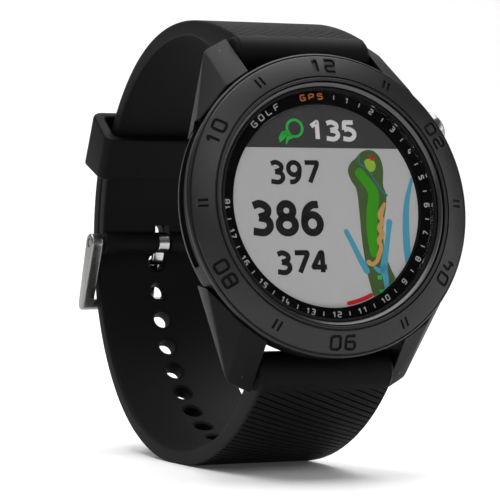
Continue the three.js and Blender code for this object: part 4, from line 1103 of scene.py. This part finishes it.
inner_path = rounded_box_path(KEEPER_HALF, KEEPER_LOW, KEEPER_HIGH, 0.8)
outer_path = rounded_box_path(KEEPER_HALF + KEEPER_SIDE, KEEPER_LOW - KEEPER_WALL,
                              KEEPER_HIGH + KEEPER_WALL, 1.5)
spread = KEEPER_LENGTH / (KEEPER_LOW + KEEPER_HIGH)
edge_turn = np.linspace(0, math.pi / 2, 5)
edge_in, edge_side = 0.22 * (1 - np.cos(edge_turn)), 1 - 0.12 * (1 - np.sin(edge_turn))
share = np.concatenate([edge_in, 1 - edge_in[::-1], 1 - edge_in, edge_in[::-1]])
wide = np.concatenate([edge_side, edge_side[::-1], -edge_side, -edge_side[::-1]])
blend_points = inner_path[:, None, :] + share[None, :, None] * (outer_path - inner_path)[:, None]
keeper_turn = math.radians(KEEPER_ANGLE) + spread * np.broadcast_to(wide, blend_points.shape[:2])
keeper_points = np.stack([blend_points[..., 0],
                          WRIST_CENTRE[0] + blend_points[..., 1] * np.cos(keeper_turn),
                          WRIST_CENTRE[1] + blend_points[..., 1] * np.sin(keeper_turn)], -1)
keeper = new_piece("keeper_loop", keeper_points,
                   grid_faces(*blend_points.shape[:2], True, True), silicone, "keeper_loop",
                   "silicone", ["keeper"])
outward(keeper)
shade(keeper, 50)

# ---------------------------------------------------------------- buckle
# A pin buckle of brushed stainless steel: two flat arms joined by a round far bar, a pin
# through the strap's end, and a tongue bent from strip around that pin.
BUCKLE_PIN, FAR_BAR_RADIUS, ARM_RADIUS = 0.7, 1.05, 1.6
ARM_INNER, ARM_OUTER, ARM_EDGE, PIN_PLAY = 11.2, 13.3, 0.38, 0.08
TONGUE_WIDTH, TONGUE_WALL, TONGUE_LOOP = 2.0, 0.9, 1.78
BAR_OUT = LONG_STRAP_INNER + LONG_STRAP_WALL + 0.3 + FAR_BAR_RADIUS
BUCKLE_REACH = 11.45

bar_cos = (BUCKLE_PIN_RADIUS_OUT ** 2 + BAR_OUT ** 2 - BUCKLE_REACH ** 2) \
    / (2 * BUCKLE_PIN_RADIUS_OUT * BAR_OUT)
bar_angle = BUCKLE_ANGLE - math.degrees(math.acos(bar_cos))
bar_at = around_wrist(BAR_OUT, bar_angle)

# Brushed stainless steel: a fine even grain breaks up its highlights.
buckle_steel = grained("brushed_stainless_steel", "#8f8e8c", 0.28, 0.1, 0.004,
                       metallic=1.0, rough_range=0.07)
# The tongue is tumbled smooth, so it is brighter and glossier than the frame.
tongue_steel = grained("bright_stainless_steel", "#c4c3c0", 0.2, 0.1, 0.002,
                       metallic=1.0, rough_range=0.05)


def buckle_part(piece, name, sharp=35.0):
    """Names and finishes a steel piece of the buckle that moves with its frame."""
    piece.name = name
    shade(piece, sharp)
    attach(piece, "buckle")


def arm_outline(first, first_radius, second, second_radius, steps=20):
    """The outline around two circles, in order."""
    way = second - first
    facing = math.atan2(way[1], way[0])
    opening = math.acos((first_radius - second_radius) / np.linalg.norm(way))
    near = np.linspace(facing + opening, facing - opening + 2 * math.pi, 2 * steps)[:, None]
    far = np.linspace(facing - opening, facing + opening, steps)[:, None]
    return np.vstack([second + second_radius * np.hstack([np.cos(far), np.sin(far)]),
                      first + first_radius * np.hstack([np.cos(near), np.sin(near)])])


arm = arm_outline(pin_at, ARM_RADIUS, bar_at, FAR_BAR_RADIUS)
arms = []
for right in (1, -1):
    sides = across_prism(arm, right * ARM_INNER, right * ARM_OUTER)
    arm_piece = new_piece("buckle_arm", *sides, buckle_steel, body=None)
    outward(arm_piece)
    softened(arm_piece, ARM_EDGE, 4, 40)
    arms.append(arm_piece)
buckle = cross_rod(bar_at, FAR_BAR_RADIUS, ARM_INNER + 0.6, buckle_steel)
combined(buckle, arms, "UNION")
combined(buckle, [cross_rod(pin_at, BUCKLE_PIN + PIN_PLAY, ARM_OUTER + 1, buckle_steel)],
         "DIFFERENCE")
buckle_part(buckle, "buckle_frame_steel", 30)
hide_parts("buckle_frame")
pin_piece = cross_rod(pin_at, BUCKLE_PIN, ARM_OUTER - 0.12, buckle_steel, 0.12)
buckle_part(pin_piece, "buckle_pin")
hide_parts("buckle_bar")

tongue_out = BAR_OUT + FAR_BAR_RADIUS + 0.3 + TONGUE_WALL / 2
tongue_knots = np.array([around_wrist(radius, degrees) for radius, degrees in (
    (BUCKLE_PIN_RADIUS_OUT + TONGUE_LOOP - 0.6 * TONGUE_WALL, BUCKLE_ANGLE - 0.6),
    (LONG_STRAP_INNER, TONGUE_HOLE_ANGLE + 0.6),
    (LONG_STRAP_INNER + LONG_STRAP_WALL, TONGUE_HOLE_ANGLE - 0.9),
    (tongue_out, bar_angle + 1.0), (tongue_out, bar_angle - 2.2))])
tongue_line = smooth_outline(tongue_knots, 8, False)
tongue_way = np.gradient(tongue_line, axis=0)
tongue_way /= np.linalg.norm(tongue_way, axis=1)[:, None]
tongue_side = np.stack([-tongue_way[:, 1], tongue_way[:, 0]], -1) * TONGUE_WALL / 2
tongue_outline = np.vstack([tongue_line + tongue_side, (tongue_line - tongue_side)[::-1]])
tongue = new_piece("buckle_tongue_steel", *across_prism(tongue_outline, -TONGUE_WIDTH / 2,
                                                        TONGUE_WIDTH / 2), tongue_steel,
                   "tongue", "polished_steel", ["buckle_tongue"])
outward(tongue)
softened(tongue, 0.22, 3, 40)
combined(tongue, [cross_rod(pin_at, TONGUE_LOOP, TONGUE_WIDTH / 2, tongue_steel, 0.15)], "UNION")
combined(tongue, [cross_rod(pin_at, BUCKLE_PIN + PIN_PLAY, TONGUE_WIDTH, tongue_steel)],
         "DIFFERENCE")
shade(tongue, 35)

# ---------------------------------------------------------------- pieces kept as modelled
# What sits inside the case, the back cover with its screws and contacts, and the fittings
# in the strap's ends keep their modelled shape and get the finish of the real material.
kept_finishes = {
    # Brushed steel of the back cover, screws, hooks, latches, springs and pins.
    "brushed_steel": grained("brushed_back_steel", "#8a8988", 0.34, 0.12, 0.004,
                             metallic=1.0),
    "polished_steel": tongue_steel,
    "silicone": silicone,
    "coated_steel": bezel_coating,
    "black_polymer": case_polymer,
    "printed_black": film_black,
    "glass": glass,
    # Nitrile rubber seals: matt and black.
    "seal_rubber": gasket_rubber,
    # The backlight's diffuser: milky polycarbonate, satin.
    "diffuser": grained("milky_polycarbonate", "#e4e4de", 0.5, 0.4, 0.004),
    "liquid_crystal": lit_panel("liquid_crystal_edge", PANEL_GREY, BACKLIGHT),
    # Solder mask over fibreglass: dark green with a lacquer gloss.
    "circuit_green": grained("green_solder_mask", "#1f5a35", 0.4, 0.3, 0.006),
    # Tinned steel can: soft grey metal.
    "tin_plate": grained("tinned_steel", "#b4b4b2", 0.38, 0.2, 0.004, metallic=1.0),
    # Laminated aluminium foil of the battery's pouch: crinkled and silvery.
    "battery_foil": grained("battery_pouch_foil", "#9fa3a8", 0.42, 0.8, 0.03, metallic=0.8),
    # Gold flash over nickel: warm and bright.
    "gold_plate": grained("gold_plated_contact", "#c9a24a", 0.25, 0.15, 0.003,
                          metallic=1.0),
    # Polyimide film: amber and glossy.
    "amber_film": grained("amber_polyimide_film", "#b4762a", 0.3, 0.3, 0.002),
}
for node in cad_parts.values():
    for material_slot in node.material_slots:
        slot_name = material_slot.material.name.split(".")[0]
        if slot_name in kept_finishes:
            material_slot.material = kept_finishes[slot_name]

# ---------------------------------------------------------------- floor and light
# A pale table top that curves up behind the watch, and soft studio light.
FLOOR_FRONT, FLOOR_FLAT, FLOOR_BEND, FLOOR_TOP, FLOOR_HALF = -3.0, 1.2, 0.8, 4.0, 4.0
# Matt white paper: it glows a very little, as under lamps that are out of the picture.
table_paint = grained("white_paper", "#f4f4f4", 0.6, 2.0, 0.01, darker=0.99)
bend = np.linspace(0, math.pi / 2, 40)
sweep = np.vstack([[FLOOR_FRONT, 0.0],
                   np.column_stack([FLOOR_FLAT + FLOOR_BEND * np.sin(bend),
                                    FLOOR_BEND - FLOOR_BEND * np.cos(bend)]),
                   [FLOOR_FLAT + FLOOR_BEND, FLOOR_TOP]])
columns = np.array([-FLOOR_HALF, FLOOR_HALF])
floor_points = np.stack([np.broadcast_to(columns[None, :], (len(sweep), 2)),
                         np.repeat(sweep[:, :1], 2, 1), np.repeat(sweep[:, 1:], 2, 1)], -1)
floor_mesh = bpy.data.meshes.new("floor")
floor_mesh.from_pydata(floor_points.reshape(-1, 3).tolist(), [], grid_faces(len(sweep), 2))
table_shader = table_paint.node_tree.nodes["Principled BSDF"]
table_shader.inputs["Emission Color"].default_value = linear("#ffffff")
table_shader.inputs["Emission Strength"].default_value = 0.03
floor_mesh.materials.append(table_paint)
linked("floor", floor_mesh)


def soft_light(name, place, size, watts, aim=(0.0, 0.0, 0.035)):
    """A large soft lamp at a place in metres, facing the watch unless aimed elsewhere."""
    data = bpy.data.lights.new(name, "AREA")
    data.shape = "RECTANGLE"
    data.size, data.size_y = size
    data.energy = watts
    lamp = linked(name, data)
    lamp.location = place
    lamp.rotation_euler = (Vector(aim) - Vector(place)).to_track_quat("-Z", "Y").to_euler()


soft_light("key_light", (-0.19, -0.68, 0.50), (0.45, 0.45), 1.5)
soft_light("rim_light", (0.63, -0.30, 0.20), (0.2, 0.45), 0.9)
soft_light("top_light", (0.0, 0.12, 0.9), (1.2, 1.0), 14.5)
soft_light("backdrop_light", (0.6, 0.9, 1.3), (1.4, 0.8), 17, (0.8, 2.0, 0.4))

# The room is dim in front and brighter up and to the left, as between black cards.
world = bpy.data.worlds.new("studio")
bpy.context.scene.world = world
world.use_nodes = True
world_tree = world.node_tree
world_way = add_node(world_tree, "ShaderNodeTexCoord").outputs["Generated"]
world_turned = add_node(world_tree, "ShaderNodeVectorMath",
                        {0: world_way, 1: (-0.35, 0.2, 0.9)}, operation="DOT_PRODUCT")
world_light = add_node(world_tree, "ShaderNodeMapRange",
                       {"Value": world_turned.outputs["Value"], "From Min": -0.2,
                        "From Max": 1.0, "To Min": 0.04, "To Max": 0.4})
world_tree.links.new(world_light.outputs["Result"],
                     world_tree.nodes["Background"].inputs["Strength"])
world_tree.nodes["Background"].inputs["Color"].default_value = (1, 1, 1, 1)
bpy.context.scene.view_settings.view_transform = "Standard"
